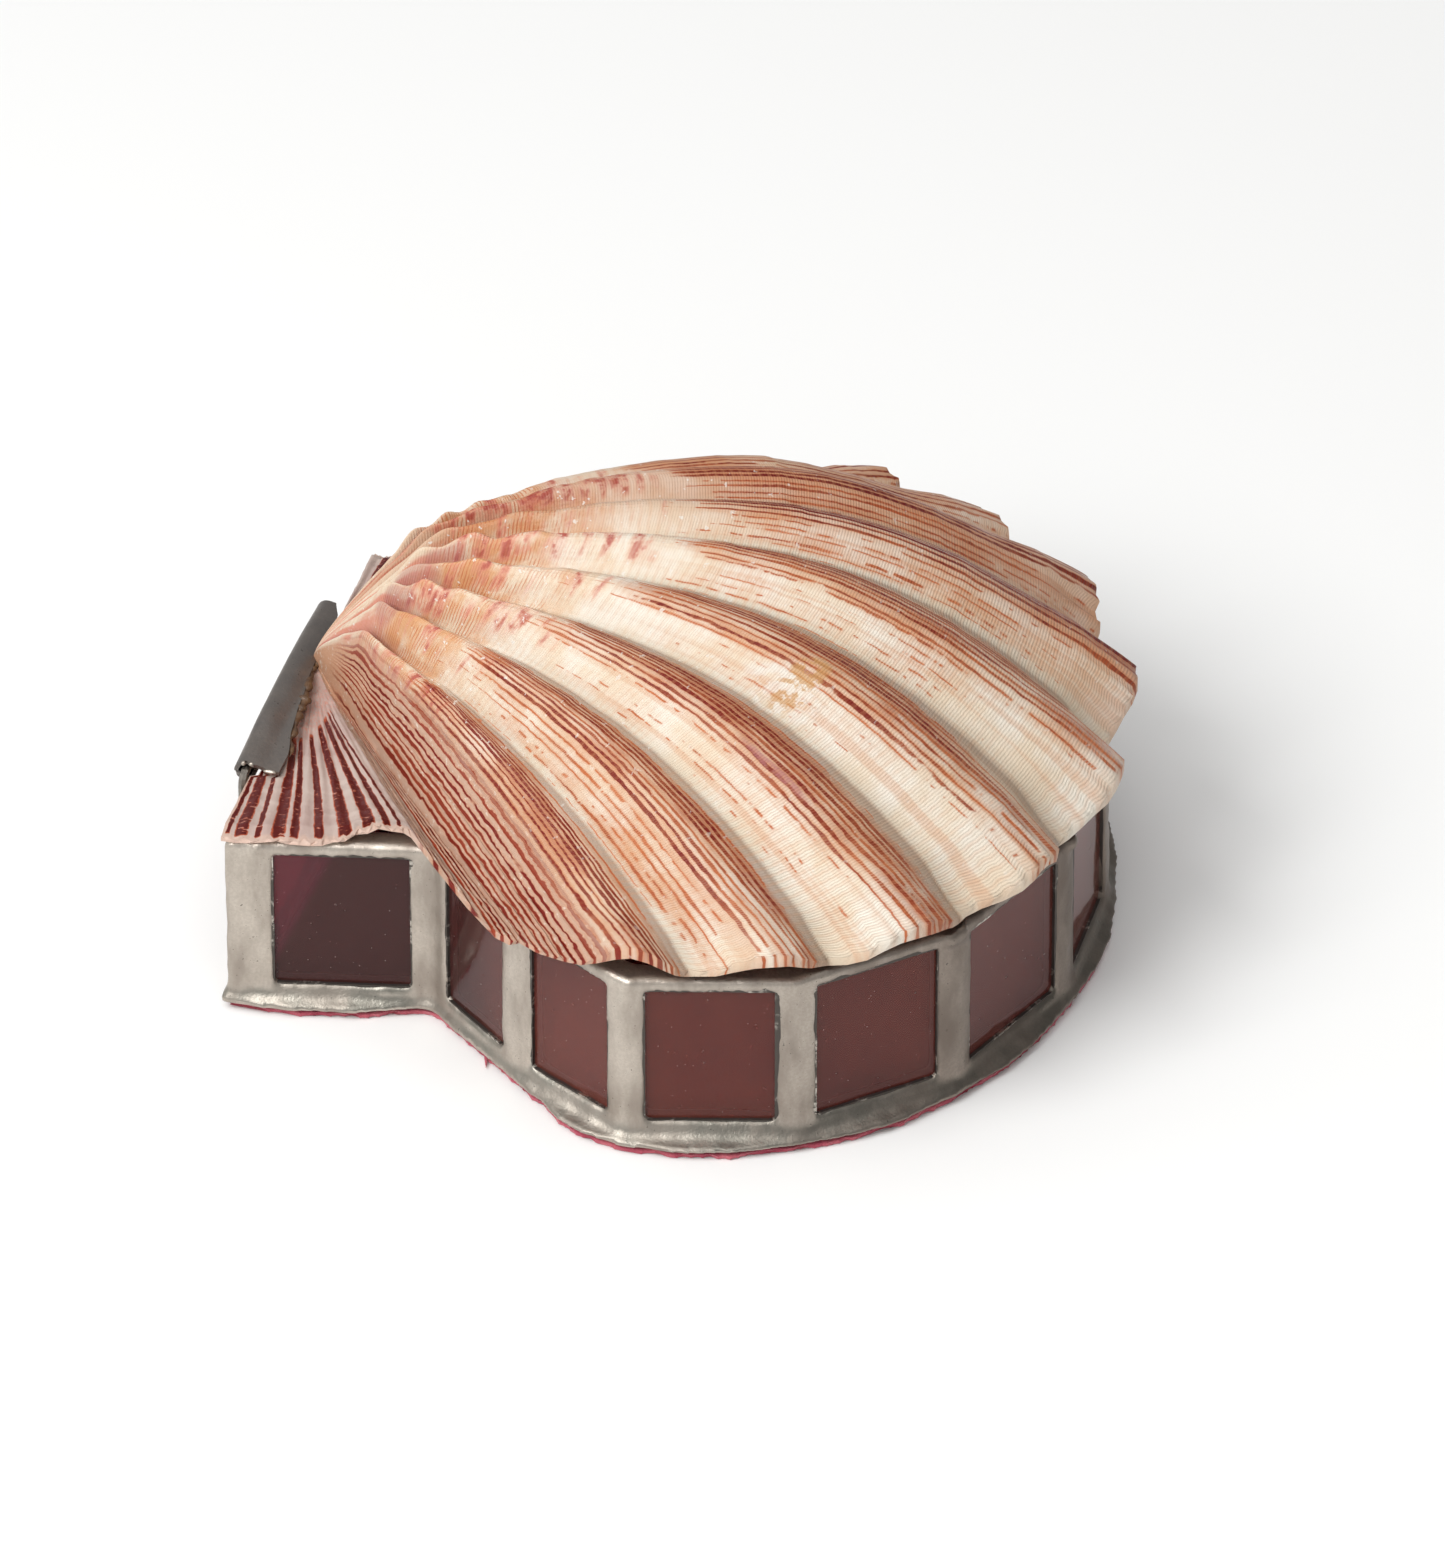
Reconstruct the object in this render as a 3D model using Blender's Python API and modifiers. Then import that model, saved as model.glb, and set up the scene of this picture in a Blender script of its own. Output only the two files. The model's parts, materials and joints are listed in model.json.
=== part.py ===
# Glass trinket box with a scallop shell for its lid.
# Flat glass panes stand on a glass base in one fused lattice of solder, with felt under the base.
# The lid turns on a wire at the back, in a sleeve of rolled sheet that is glued to the shell.
# Metres, +Z up. The hinge runs along X at the back (+Y), and the fan of panes faces -Y.

import math

import bmesh
import bpy
from mathutils import Matrix, Vector

MM = 0.001
CLEARANCE = 0.3 * MM

# Felt, base glass and wall heights
FELT_THICKNESS = 0.8 * MM
FELT_INSET = 0.4 * MM
BASE_GLASS_THICKNESS = 2.0 * MM
BASE_INSET = 0.6 * MM
RAIL_WEB = 0.3 * MM
PANE_HEIGHT = 24.4 * MM
PANE_THICKNESS = 3.0 * MM
SOLDER_PROUD = 0.7 * MM
GLASS_OVERLAP = 1.0 * MM
BOTTOM_RAIL_COVER = 0.4 * MM
TOP_RAIL_VISIBLE = 2.0 * MM

# Plan of the walls' outer face, measured from the middle of the fan
BACK_WALL_Y = 60.0 * MM
NEAR_EAR_CORNER_X = -43.6 * MM
NEAR_NOTCH = (-36.9 * MM, 31.8 * MM)
NEAR_SHOULDER = (-48.4 * MM, 16.4 * MM)
FAN_HALF_WIDTH = 57.3 * MM
FAN_HALF_DEPTH = 53.0 * MM
FAN_TURN = math.radians(1.2)
FAN_FRONT_HALF_ANGLE = math.radians(11.3)
FAN_STEP = math.radians(26.0)
FAN_WALLS_EACH_SIDE = 3
FAR_SHOULDER = (52.4 * MM, 16.4 * MM)
FAR_MIDDLE = (38.3 * MM, 28.7 * MM)
FAR_NOTCH = (22.4 * MM, 38.5 * MM)
FAR_EAR_CORNER_X = 24.4 * MM
POST_HALF_WIDTH = 3.0 * MM
EAR_POST_WIDTH = 6.9 * MM
CORNER_ROUNDING = 1.3 * MM
CORNER_POINTS = 3
RIM_ROUNDING = 0.9 * MM

# Foot of the lattice, which spreads most at the fan's sides and bulges between the corners
FOOT_FLARE_SIDE = 2.2 * MM
FOOT_FLARE_FRONT = 1.2 * MM
FOOT_FLARE_EAR = 1.0 * MM
FOOT_FLARE_BACK = 0.6 * MM
FOOT_BULGE = 1.5 * MM
FOOT_LIP_HEIGHT = 0.8 * MM
FOOT_FILLET_RISE = 0.5 * MM
FOOT_FILLET_STEPS = 4
BULGE_PLACES = (1 / 3, 2 / 3)

# Shell, with its places in plan also measured from the middle of the fan
DISC_CENTRE_Y = -1.0 * MM
DISC_HALF_WIDTH = 57.9 * MM
DISC_HALF_DEPTH = 54.6 * MM
UMBO_X = -4.7 * MM
HINGE_EDGE_INSET = 1.0 * MM
NEAR_EAR_LENGTH = 39.3 * MM
FAR_EAR_LENGTH = 29.1 * MM
NEAR_EAR_NOTCH_ANGLE = math.radians(-53.0)
NEAR_EAR_NOTCH_REACH = 41.6 * MM
NEAR_SHOULDER_ANGLE = math.radians(-50.4)
FAR_EAR_NOTCH_ANGLE = math.radians(58.8)
FAR_EAR_NOTCH_REACH = 33.0 * MM
FAR_SHOULDER_ANGLE = math.radians(56.6)
MARGIN_THICKNESS = 1.1 * MM
WALL_THICKNESS = 2.3 * MM
EAR_THICKNESS = 1.7 * MM
MARGIN_LIFT = 0.2 * MM
MARGIN_THIN_SHARE = 0.25

# The margin is a little flattened beside the far shoulder
FLAT_ANGLE = math.radians(36.0)
FLAT_SPREAD = math.radians(14.0)
FLAT_SHARE = 0.022

# Dome of the shell: shares run from the umbo to the margin, powers set how full each curve is.
# The section across is full near the umbo and slopes more towards the margin.
DOME_HEIGHT = 29.1 * MM
DOME_PEAK_SHARE = 0.47
DOME_RISE_POWER = 0.72
DOME_FALL_POWER = 1.3
SECTION_POWER_UMBO = 0.45
SECTION_POWER_MARGIN = 1.1
DISC_EDGE_ANGLE = math.radians(-2.4)
EDGE_SHARE = 0.25
BEAK_SHARE = 0.12
BEAK_LIFT = 1.6 * MM
SLOPE_STEP = 0.01

# Ribs
RIB_HEIGHT = 3.2 * MM
MARGIN_RIB_HEIGHT = 2.4 * MM
RIB_FULL_SHARE = 0.35
RIB_FALL_SHARE = 0.5
RIB_PITCH = math.radians(11.4)
RIB_AXIS = math.radians(1.8)
RIB_SPREAD = 0.0061
RIB_COUNT_EACH_SIDE = 4
RIB_CREST_POWER = 0.75
RIB_FADE_START = 0.1
RIB_FADE_LENGTH = 0.6
RIB_SHARE_INSIDE = 0.6
LOBE_SHARE = 0.010

# Facets of the shell
COLUMNS_PER_RIB = 6
EAR_COLUMNS = 5
NOTCH_COLUMNS = (0.5, 0.8)
SHELL_ROWS = 16
ROW_SPACING_POWER = 1.3

# Edges that turn less than this are shaded smooth
SMOOTH_ANGLE = math.radians(40.0)

# Hinge
WIRE_RADIUS = 0.65 * MM
SLEEVE_CLEARANCE = 0.35 * MM
SLEEVE_WALL = 0.6 * MM
BARREL_LIFT = 0.4 * MM
SLEEVE_START = 14.0 * MM
SLEEVE_LENGTH = 38.5 * MM
LEAF_LENGTH = 17.0 * MM
LEAF_WIDTH = 5.2 * MM
LEAF_STEP_SHARE = 0.25
SLEEVE_MOUTH_ANGLE = math.radians(-140.0)
SLEEVE_LAST_ANGLE = math.radians(100.0)
SLEEVE_STEPS = 14
WIRE_END_REACH = 1.2 * MM
WIRE_BEND_RADIUS = 1.8 * MM
WIRE_BEND_STEPS = 5
WIRE_LEG_LENGTH = 9.0 * MM

# Levels that follow from the sizes above
BASE_BOTTOM = FELT_THICKNESS + CLEARANCE
BASE_TOP = BASE_BOTTOM + BASE_GLASS_THICKNESS
RAIL_BOTTOM = BASE_TOP + CLEARANCE
PANE_BOTTOM = RAIL_BOTTOM + RAIL_WEB + CLEARANCE
PANE_TOP = PANE_BOTTOM + PANE_HEIGHT
RIM_TOP = PANE_TOP + CLEARANCE + RAIL_WEB
WINDOW_BOTTOM = PANE_BOTTOM + BOTTOM_RAIL_COVER
WINDOW_TOP = RIM_TOP - TOP_RAIL_VISIBLE
WALL_DEPTH = PANE_THICKNESS + 2 * SOLDER_PROUD
EAR_BOTTOM = RIM_TOP + CLEARANCE
EAR_TOP = EAR_BOTTOM + EAR_THICKNESS
SLEEVE_INNER = WIRE_RADIUS + SLEEVE_CLEARANCE
SLEEVE_OUTER = SLEEVE_INNER + SLEEVE_WALL

# The plan is shifted so that the object's box is centred on the origin
FRONT_REACH = DISC_HALF_DEPTH * (1 + LOBE_SHARE) - DISC_CENTRE_Y
BACK_REACH = BACK_WALL_Y + CLEARANCE + WIRE_RADIUS + SLEEVE_OUTER
PLAN_SHIFT_Y = (FRONT_REACH - BACK_REACH) / 2
BACK_Y = BACK_WALL_Y + PLAN_SHIFT_Y
UMBO = Vector((UMBO_X, BACK_Y - HINGE_EDGE_INSET))
HINGE_Y = BACK_Y + CLEARANCE + WIRE_RADIUS
HINGE_Z = RIM_TOP + BARREL_LIFT + SLEEVE_OUTER
NEAR_TIP_X = UMBO_X - NEAR_EAR_LENGTH


def clear_scene():
    for item in list(bpy.data.objects):
        bpy.data.objects.remove(item, do_unlink=True)


def make_collection(name):
    collection = bpy.data.collections.new(name)
    bpy.context.scene.collection.children.link(collection)
    return collection


def make_material(name, colour, roughness, metallic=0.0, transmission=0.0):
    material = bpy.data.materials.new(name)
    material.use_nodes = True
    shader = material.node_tree.nodes["Principled BSDF"]
    shader.inputs["Base Color"].default_value = (*colour, 1.0)
    shader.inputs["Roughness"].default_value = roughness
    shader.inputs["Metallic"].default_value = metallic
    shader.inputs["Transmission Weight"].default_value = transmission
    material.diffuse_color = (*colour, 1.0)
    return material


def mesh_object(name, bm, collection, material=None, smooth=False):
    mesh = bpy.data.meshes.new(name)
    bm.to_mesh(mesh)
    bm.free()
    if smooth:
        mesh.shade_smooth()
        mesh.set_sharp_from_angle(angle=SMOOTH_ANGLE)
    item = bpy.data.objects.new(name, mesh)
    collection.objects.link(item)
    if material:
        mesh.materials.append(material)
    return item


def as_cutter(item):
    item.hide_render = True
    item.display_type = "WIRE"
    return item


# Plan of the walls

def fan_corner(angle):
    return FAN_HALF_WIDTH * math.sin(angle), -FAN_HALF_DEPTH * math.cos(angle)


def wall_corners():
    # Counter-clockwise from above: near ear, notch, shoulder, round the fan, and back to the far ear.
    front_near = FAN_TURN - FAN_FRONT_HALF_ANGLE
    front_far = FAN_TURN + FAN_FRONT_HALF_ANGLE
    steps = range(FAN_WALLS_EACH_SIDE + 1)
    points = [(NEAR_EAR_CORNER_X, BACK_WALL_Y), NEAR_NOTCH, NEAR_SHOULDER]
    points += [fan_corner(front_near - FAN_STEP * step) for step in reversed(steps)]
    points += [fan_corner(front_far + FAN_STEP * step) for step in steps]
    points += [FAR_SHOULDER, FAR_MIDDLE, FAR_NOTCH, (FAR_EAR_CORNER_X, BACK_WALL_Y)]
    return [Vector((x, y + PLAN_SHIFT_Y)) for x, y in points]


def outward_of(along):
    return Vector((along.y, -along.x))


def wall_directions(corners):
    following = corners[1:] + corners[:1]
    return [(end - start).normalized() for start, end in zip(corners, following)]


def round_walls():
    # The walls between the two shoulders, which follow the near ear's wall and the near notch's.
    first = 2
    return range(first, first + 2 * FAN_WALLS_EACH_SIDE + 3)


def foot_flare(index, along, count):
    # How far the foot spreads past one wall: round the fan, by the way that the wall faces.
    outward = outward_of(along)
    if index in round_walls():
        return FOOT_FLARE_SIDE * outward.x ** 2 + FOOT_FLARE_FRONT * outward.y ** 2
    return FOOT_FLARE_BACK if index == count - 1 else FOOT_FLARE_EAR


def foot_bulge(index, count):
    # The foot bulges between the corners round the fan and at the two ears.
    ear_walls = (0, count - 2)
    return FOOT_BULGE if index in round_walls() or index in ear_walls else 0.0


def moved_corners(corners, walls, distances):
    # Each corner goes to where its two walls meet once each has moved outwards by its own distance.
    moved = []
    for index, corner in enumerate(corners):
        before = walls[index - 1]
        after = walls[index]
        along = distances[index] - distances[index - 1] * before.dot(after)
        along /= before.cross(after)
        moved.append(corner + outward_of(before) * distances[index - 1] + before * along)
    return moved


def outline_at(corners, flare_share, distance):
    # Outline of the walls, moved outwards by a share of the foot's flare and by a distance. Each
    # corner is a short curve that leaves both walls smoothly.
    walls = wall_directions(corners)
    count = len(walls)
    flares = [foot_flare(index, along, count) for index, along in enumerate(walls)]
    distances = [flare_share * flare + distance for flare in flares]
    moved = moved_corners(corners, walls, distances)
    outline = []
    for index, corner in enumerate(moved):
        before = walls[index - 1] * -CORNER_ROUNDING
        after = walls[index] * CORNER_ROUNDING
        for point in range(CORNER_POINTS):
            t = point / (CORNER_POINTS - 1)
            outline.append(corner + before * (1 - t) ** 2 + after * t ** 2)
        start = corner + after
        end = moved[(index + 1) % count] - after
        for share in BULGE_PLACES:
            rise = flare_share * foot_bulge(index, count) * 4 * share * (1 - share)
            outline.append(start.lerp(end, share) + outward_of(walls[index]) * rise)
    return outline


# Glass, felt and solder

def flat_plate(name, outline, bottom, thickness, collection, material):
    curve = bpy.data.curves.new(name, "CURVE")
    curve.dimensions = "2D"
    curve.fill_mode = "BOTH"
    curve.extrude = thickness / 2
    spline = curve.splines.new("POLY")
    spline.points.add(len(outline) - 1)
    for place, point in zip(spline.points, outline):
        place.co = (point.x, point.y, 0.0, 1.0)
    spline.use_cyclic_u = True
    curve.materials.append(material)
    item = bpy.data.objects.new(name, curve)
    item.location = (0.0, 0.0, bottom + thickness / 2)
    collection.objects.link(item)
    return item


def rail_profile():
    # Section of the lattice: share of the foot's flare, distance from the walls' face, and height.
    # The foot wraps the edge of the base glass, and the rim is rounded.
    inner = -WALL_DEPTH
    slot = CLEARANCE - BASE_INSET
    lip_top = BASE_BOTTOM + FOOT_LIP_HEIGHT
    fillet_top = WINDOW_BOTTOM + FOOT_FILLET_RISE
    profile = [(1.0, 0.0, BASE_BOTTOM), (1.0, 0.0, lip_top)]
    for step in range(1, FOOT_FILLET_STEPS + 1):
        turn = math.pi / 2 * step / FOOT_FILLET_STEPS
        profile.append((1 - math.sin(turn), 0.0, fillet_top - (fillet_top - lip_top) * math.cos(turn)))
    halfway = RIM_ROUNDING * (1 - math.sqrt(0.5))
    rim = [(0.0, RIM_ROUNDING), (halfway, halfway), (RIM_ROUNDING, 0.0)]
    profile += [(0.0, -inset, RIM_TOP - drop) for inset, drop in rim]
    profile += [(0.0, inner + inset, RIM_TOP - drop) for inset, drop in reversed(rim)]
    profile += [(0.0, inner, RAIL_BOTTOM), (0.0, slot, RAIL_BOTTOM), (0.0, slot, BASE_BOTTOM)]
    return profile


def swept_ring(corners, profile):
    bm = bmesh.new()
    loops = []
    for flare_share, distance, height in profile:
        outline = outline_at(corners, flare_share, distance)
        loops.append([bm.verts.new((*point, height)) for point in outline])
    count = len(loops[0])
    for first, second in zip(loops, loops[1:] + loops[:1]):
        for index in range(count):
            following = (index + 1) % count
            bm.faces.new((first[index], first[following], second[following], second[index]))
    bmesh.ops.recalc_face_normals(bm, faces=bm.faces)
    return bm


def wall_frames(corners):
    # One entry for each wall: its two ends at the outer face, and the width of the post at each.
    frames = []
    ear_corners = (0, len(corners) - 1)
    for index, start in enumerate(corners):
        following = (index + 1) % len(corners)
        ends = (index, following)
        posts = [EAR_POST_WIDTH if end in ear_corners else POST_HALF_WIDTH for end in ends]
        frames.append((start, corners[following], *posts))
    return frames


def wall_box(frame, overlap, depth_from, depth_to, bottom, top):
    # A box along one wall, between its posts and past them by the overlap.
    start, end, post_start, post_end = frame
    along = (end - start).normalized()
    low = post_start - overlap
    high = (end - start).length - post_end + overlap
    middle = start + along * (low + high) / 2 + outward_of(along) * (depth_from + depth_to) / 2
    size = (high - low, abs(depth_to - depth_from), top - bottom)
    turn = math.atan2(along.y, along.x)
    place = Matrix.Translation((middle.x, middle.y, (bottom + top) / 2))
    return place @ Matrix.Rotation(turn, 4, "Z"), size


def add_box(bm, place, size):
    bmesh.ops.create_cube(bm, size=1.0, matrix=place @ Matrix.Diagonal((*size, 1.0)))


def make_pane(name, frame, collection, material):
    front = -SOLDER_PROUD
    back = front - PANE_THICKNESS
    place, size = wall_box(frame, GLASS_OVERLAP, front, back, PANE_BOTTOM, PANE_TOP)
    bm = bmesh.new()
    add_box(bm, Matrix.Identity(4), size)
    item = mesh_object(name, bm, collection, material)
    item.matrix_world = place
    return item


def make_lattice(corners, frames, collection, cutters, material):
    ring = swept_ring(corners, rail_profile())
    lattice = mesh_object("solder_frame", ring, collection, material, smooth=True)
    windows = bmesh.new()
    slots = bmesh.new()
    through = FOOT_FLARE_SIDE + FOOT_BULGE + CLEARANCE
    behind = -WALL_DEPTH - CLEARANCE
    slot_front = -SOLDER_PROUD + CLEARANCE
    slot_back = -SOLDER_PROUD - PANE_THICKNESS - CLEARANCE
    for frame in frames:
        add_box(windows, *wall_box(frame, 0.0, through, behind, WINDOW_BOTTOM, WINDOW_TOP))
        add_box(slots, *wall_box(frame, GLASS_OVERLAP + CLEARANCE, slot_front, slot_back,
                                 PANE_BOTTOM - CLEARANCE, PANE_TOP + CLEARANCE))
    for name, shape in (("window_cutter", windows), ("slot_cutter", slots)):
        cutter = as_cutter(mesh_object(name, shape, cutters))
        cut = lattice.modifiers.new(name, "BOOLEAN")
        cut.operation = "DIFFERENCE"
        cut.solver = "EXACT"
        cut.object = cutter
    return lattice


# Shell

def rib_number(angle):
    # Ribs count from the middle one, and stand a little closer together towards the shoulders.
    steps = (angle - RIB_AXIS) / RIB_PITCH
    return steps + RIB_SPREAD * steps ** 3


def rib_wave(angle):
    # One on a rib's crest and nothing in the furrow between two ribs.
    return (0.5 + 0.5 * math.cos(2 * math.pi * rib_number(angle))) ** RIB_CREST_POWER


def rib_fade(angle):
    # Full height on the ribs and nothing on the plain shoulders.
    past = abs(rib_number(angle)) - RIB_COUNT_EACH_SIDE - RIB_FADE_START
    return min(1.0, max(0.0, 1.0 - past / RIB_FADE_LENGTH))


def rib_height(t):
    # Ribs rise from the umbo, stand full on the dome and fall a little to the margin.
    grown = math.sin(math.pi / 2 * min(1.0, t / RIB_FULL_SHARE))
    fallen = max(0.0, (t - RIB_FALL_SHARE) / (1 - RIB_FALL_SHARE))
    return grown * (RIB_HEIGHT + (MARGIN_RIB_HEIGHT - RIB_HEIGHT) * fallen)


def ellipse_reach(angle):
    # Distance from the umbo to the round margin, along one direction.
    start = Vector((UMBO.x / DISC_HALF_WIDTH, (UMBO.y - PLAN_SHIFT_Y - DISC_CENTRE_Y) / DISC_HALF_DEPTH))
    ray = Vector((math.sin(angle) / DISC_HALF_WIDTH, -math.cos(angle) / DISC_HALF_DEPTH))
    a = ray.dot(ray)
    b = 2 * start.dot(ray)
    c = start.dot(start) - 1
    flat = max(0.0, 1 - ((angle - FLAT_ANGLE) / FLAT_SPREAD) ** 2)
    return (-b + math.sqrt(max(b * b - 4 * a * c, 0.0))) / (2 * a) * (1 - FLAT_SHARE * flat)


def ray_to_line(angle, first, second):
    # Distance from the umbo to the line through two points, given as directions and reaches.
    points = [Vector((math.sin(turn), -math.cos(turn))) * reach for turn, reach in (first, second)]
    along = points[1] - points[0]
    ray = Vector((math.sin(angle), -math.cos(angle)))
    return points[0].cross(along) / ray.cross(along)


def margin_reach(angle):
    near_shoulder = (NEAR_SHOULDER_ANGLE, ellipse_reach(NEAR_SHOULDER_ANGLE))
    far_shoulder = (FAR_SHOULDER_ANGLE, ellipse_reach(FAR_SHOULDER_ANGLE))
    near_notch = (NEAR_EAR_NOTCH_ANGLE, NEAR_EAR_NOTCH_REACH)
    far_notch = (FAR_EAR_NOTCH_ANGLE, FAR_EAR_NOTCH_REACH)
    if angle <= NEAR_EAR_NOTCH_ANGLE:
        return ray_to_line(angle, (-math.pi / 2, NEAR_EAR_LENGTH), near_notch)
    if angle < NEAR_SHOULDER_ANGLE:
        return ray_to_line(angle, near_notch, near_shoulder)
    if angle <= FAR_SHOULDER_ANGLE:
        return ellipse_reach(angle) * (1 + LOBE_SHARE * (2 * rib_wave(angle) - 1) * rib_fade(angle))
    if angle < FAR_EAR_NOTCH_ANGLE:
        return ray_to_line(angle, far_shoulder, far_notch)
    return ray_to_line(angle, far_notch, (math.pi / 2, FAR_EAR_LENGTH))


def dome_share(t):
    # Profile from the umbo to the margin: a steep beak, the highest point and a long fall.
    if t < DOME_PEAK_SHARE:
        return math.sin(math.pi / 2 * (t / DOME_PEAK_SHARE) ** DOME_RISE_POWER)
    return math.cos(math.pi / 2 * ((t - DOME_PEAK_SHARE) / (1 - DOME_PEAK_SHARE)) ** DOME_FALL_POWER)


def disc_share(angle, t):
    # How much of the dome stands in one direction: all in the middle, nothing at the ears.
    middle = (NEAR_SHOULDER_ANGLE + FAR_SHOULDER_ANGLE) / 2
    half = (FAR_SHOULDER_ANGLE - NEAR_SHOULDER_ANGLE) / 2 + DISC_EDGE_ANGLE
    power = SECTION_POWER_UMBO + (SECTION_POWER_MARGIN - SECTION_POWER_UMBO) * t
    return max(0.0, 1 - ((angle - middle) / half) ** 2) ** power


def shell_heights(angle, t):
    # Top and underside of the shell at a share of the way from the umbo to the margin.
    share = disc_share(angle, t)
    ribs = rib_height(t) * rib_fade(angle)
    away_from_ears = min(1.0, share / EDGE_SHARE)
    away_from_beak = min(1.0, t / BEAK_SHARE)
    lift = BEAK_LIFT * (1 - away_from_beak)
    lift += (MARGIN_LIFT + ribs / 2) * away_from_ears * away_from_beak
    level = EAR_TOP + lift
    dome = DOME_HEIGHT * share * dome_share(t)
    wave = rib_wave(angle) - 0.5
    top = level + dome + ribs * wave
    if share <= 0.0:
        return top, EAR_BOTTOM
    before = max(t - SLOPE_STEP, 0.0)
    after = min(t + SLOPE_STEP, 1.0)
    slope = DOME_HEIGHT * share * (dome_share(after) - dome_share(before))
    slope /= (after - before) * margin_reach(angle)
    away_from_margin = min(1.0, (1 - t) / MARGIN_THIN_SHARE)
    wall = MARGIN_THICKNESS + (WALL_THICKNESS - MARGIN_THICKNESS) * away_from_margin
    depth = wall * math.sqrt(1 + slope * slope) + (1 - RIB_SHARE_INSIDE) / 2 * ribs
    underside = level + dome + RIB_SHARE_INSIDE * ribs * wave - depth
    return top, EAR_BOTTOM + max(underside - EAR_BOTTOM, 0.0) * away_from_beak


def angles_between(first, last, count):
    return [first + (last - first) * step / count for step in range(count + 1)]


def column_angles():
    # Directions of the shell's rows of facets, from the near ear to the far one.
    near_turn = NEAR_SHOULDER_ANGLE - NEAR_EAR_NOTCH_ANGLE
    far_turn = FAR_EAR_NOTCH_ANGLE - FAR_SHOULDER_ANGLE
    disc_columns = round((FAR_SHOULDER_ANGLE - NEAR_SHOULDER_ANGLE) / RIB_PITCH * COLUMNS_PER_RIB)
    angles = angles_between(-math.pi / 2, NEAR_EAR_NOTCH_ANGLE, EAR_COLUMNS)
    angles += [NEAR_EAR_NOTCH_ANGLE + near_turn * share for share in NOTCH_COLUMNS]
    angles += angles_between(NEAR_SHOULDER_ANGLE, FAR_SHOULDER_ANGLE, disc_columns)
    angles += [FAR_EAR_NOTCH_ANGLE - far_turn * share for share in reversed(NOTCH_COLUMNS)]
    angles += angles_between(FAR_EAR_NOTCH_ANGLE, math.pi / 2, EAR_COLUMNS)
    return angles


def make_shell(collection, material):
    # A flat slab of cells, one layer deep, is bent into the valve: across it runs the direction from
    # the umbo, along it the way to the margin.
    angles = column_angles()
    columns = len(angles) - 1
    bm = bmesh.new()
    bmesh.ops.create_grid(bm, x_segments=columns, y_segments=SHELL_ROWS, size=0.5)
    upper = bmesh.ops.extrude_face_region(bm, geom=list(bm.faces))["geom"]
    for vert in (item for item in upper if isinstance(item, bmesh.types.BMVert)):
        vert.co.z = 1.0
    for vert in bm.verts:
        angle = angles[round((vert.co.x + 0.5) * columns)]
        t = (vert.co.y + 0.5) ** ROW_SPACING_POWER
        reach = margin_reach(angle) * t
        top, underside = shell_heights(angle, t)
        height = top if vert.co.z > 0.5 else underside
        vert.co = (UMBO.x + reach * math.sin(angle), UMBO.y - reach * math.cos(angle), height)
    bmesh.ops.remove_doubles(bm, verts=bm.verts, dist=0.01 * MM)
    bmesh.ops.recalc_face_normals(bm, faces=bm.faces)
    return mesh_object("shell_lid", bm, collection, material, smooth=True)


# Hinge

def make_wire(collection, material):
    # A wire through the sleeve, turned down at both ends against the back of the box.
    near = NEAR_TIP_X + SLEEVE_START - WIRE_END_REACH
    far = NEAR_TIP_X + SLEEVE_START + SLEEVE_LENGTH + WIRE_END_REACH
    bend = WIRE_BEND_RADIUS
    points = [(near, HINGE_Z - bend - WIRE_LEG_LENGTH)]
    for step in range(WIRE_BEND_STEPS + 1):
        turn = math.pi / 2 * step / WIRE_BEND_STEPS
        points.append((near + bend * (1 - math.cos(turn)), HINGE_Z - bend * (1 - math.sin(turn))))
    for x, z in list(reversed(points)):
        points.append((near + far - x, z))
    curve = bpy.data.curves.new("hinge_wire", "CURVE")
    curve.dimensions = "3D"
    curve.bevel_depth = WIRE_RADIUS
    curve.bevel_resolution = 2
    curve.use_fill_caps = True
    spline = curve.splines.new("POLY")
    spline.points.add(len(points) - 1)
    for place, (x, z) in zip(spline.points, points):
        place.co = (x, HINGE_Y, z, 1.0)
    curve.materials.append(material)
    item = bpy.data.objects.new("hinge_wire", curve)
    collection.objects.link(item)
    return item


def sleeve_section():
    # Path of the sheet across the hinge: rolled round the wire, then a flat leaf towards the front.
    radius = SLEEVE_INNER + SLEEVE_WALL / 2
    section = []
    for step in range(SLEEVE_STEPS + 1):
        turn = SLEEVE_MOUTH_ANGLE + (SLEEVE_LAST_ANGLE - SLEEVE_MOUTH_ANGLE) * step / SLEEVE_STEPS
        section.append((radius * math.cos(turn), radius * math.sin(turn)))
    leaf_height = EAR_TOP + CLEARANCE + SLEEVE_WALL / 2 - HINGE_Z
    section.append((-radius - LEAF_STEP_SHARE * LEAF_WIDTH, leaf_height))
    section.append((-radius - LEAF_WIDTH + SLEEVE_WALL, leaf_height))
    return section


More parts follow.
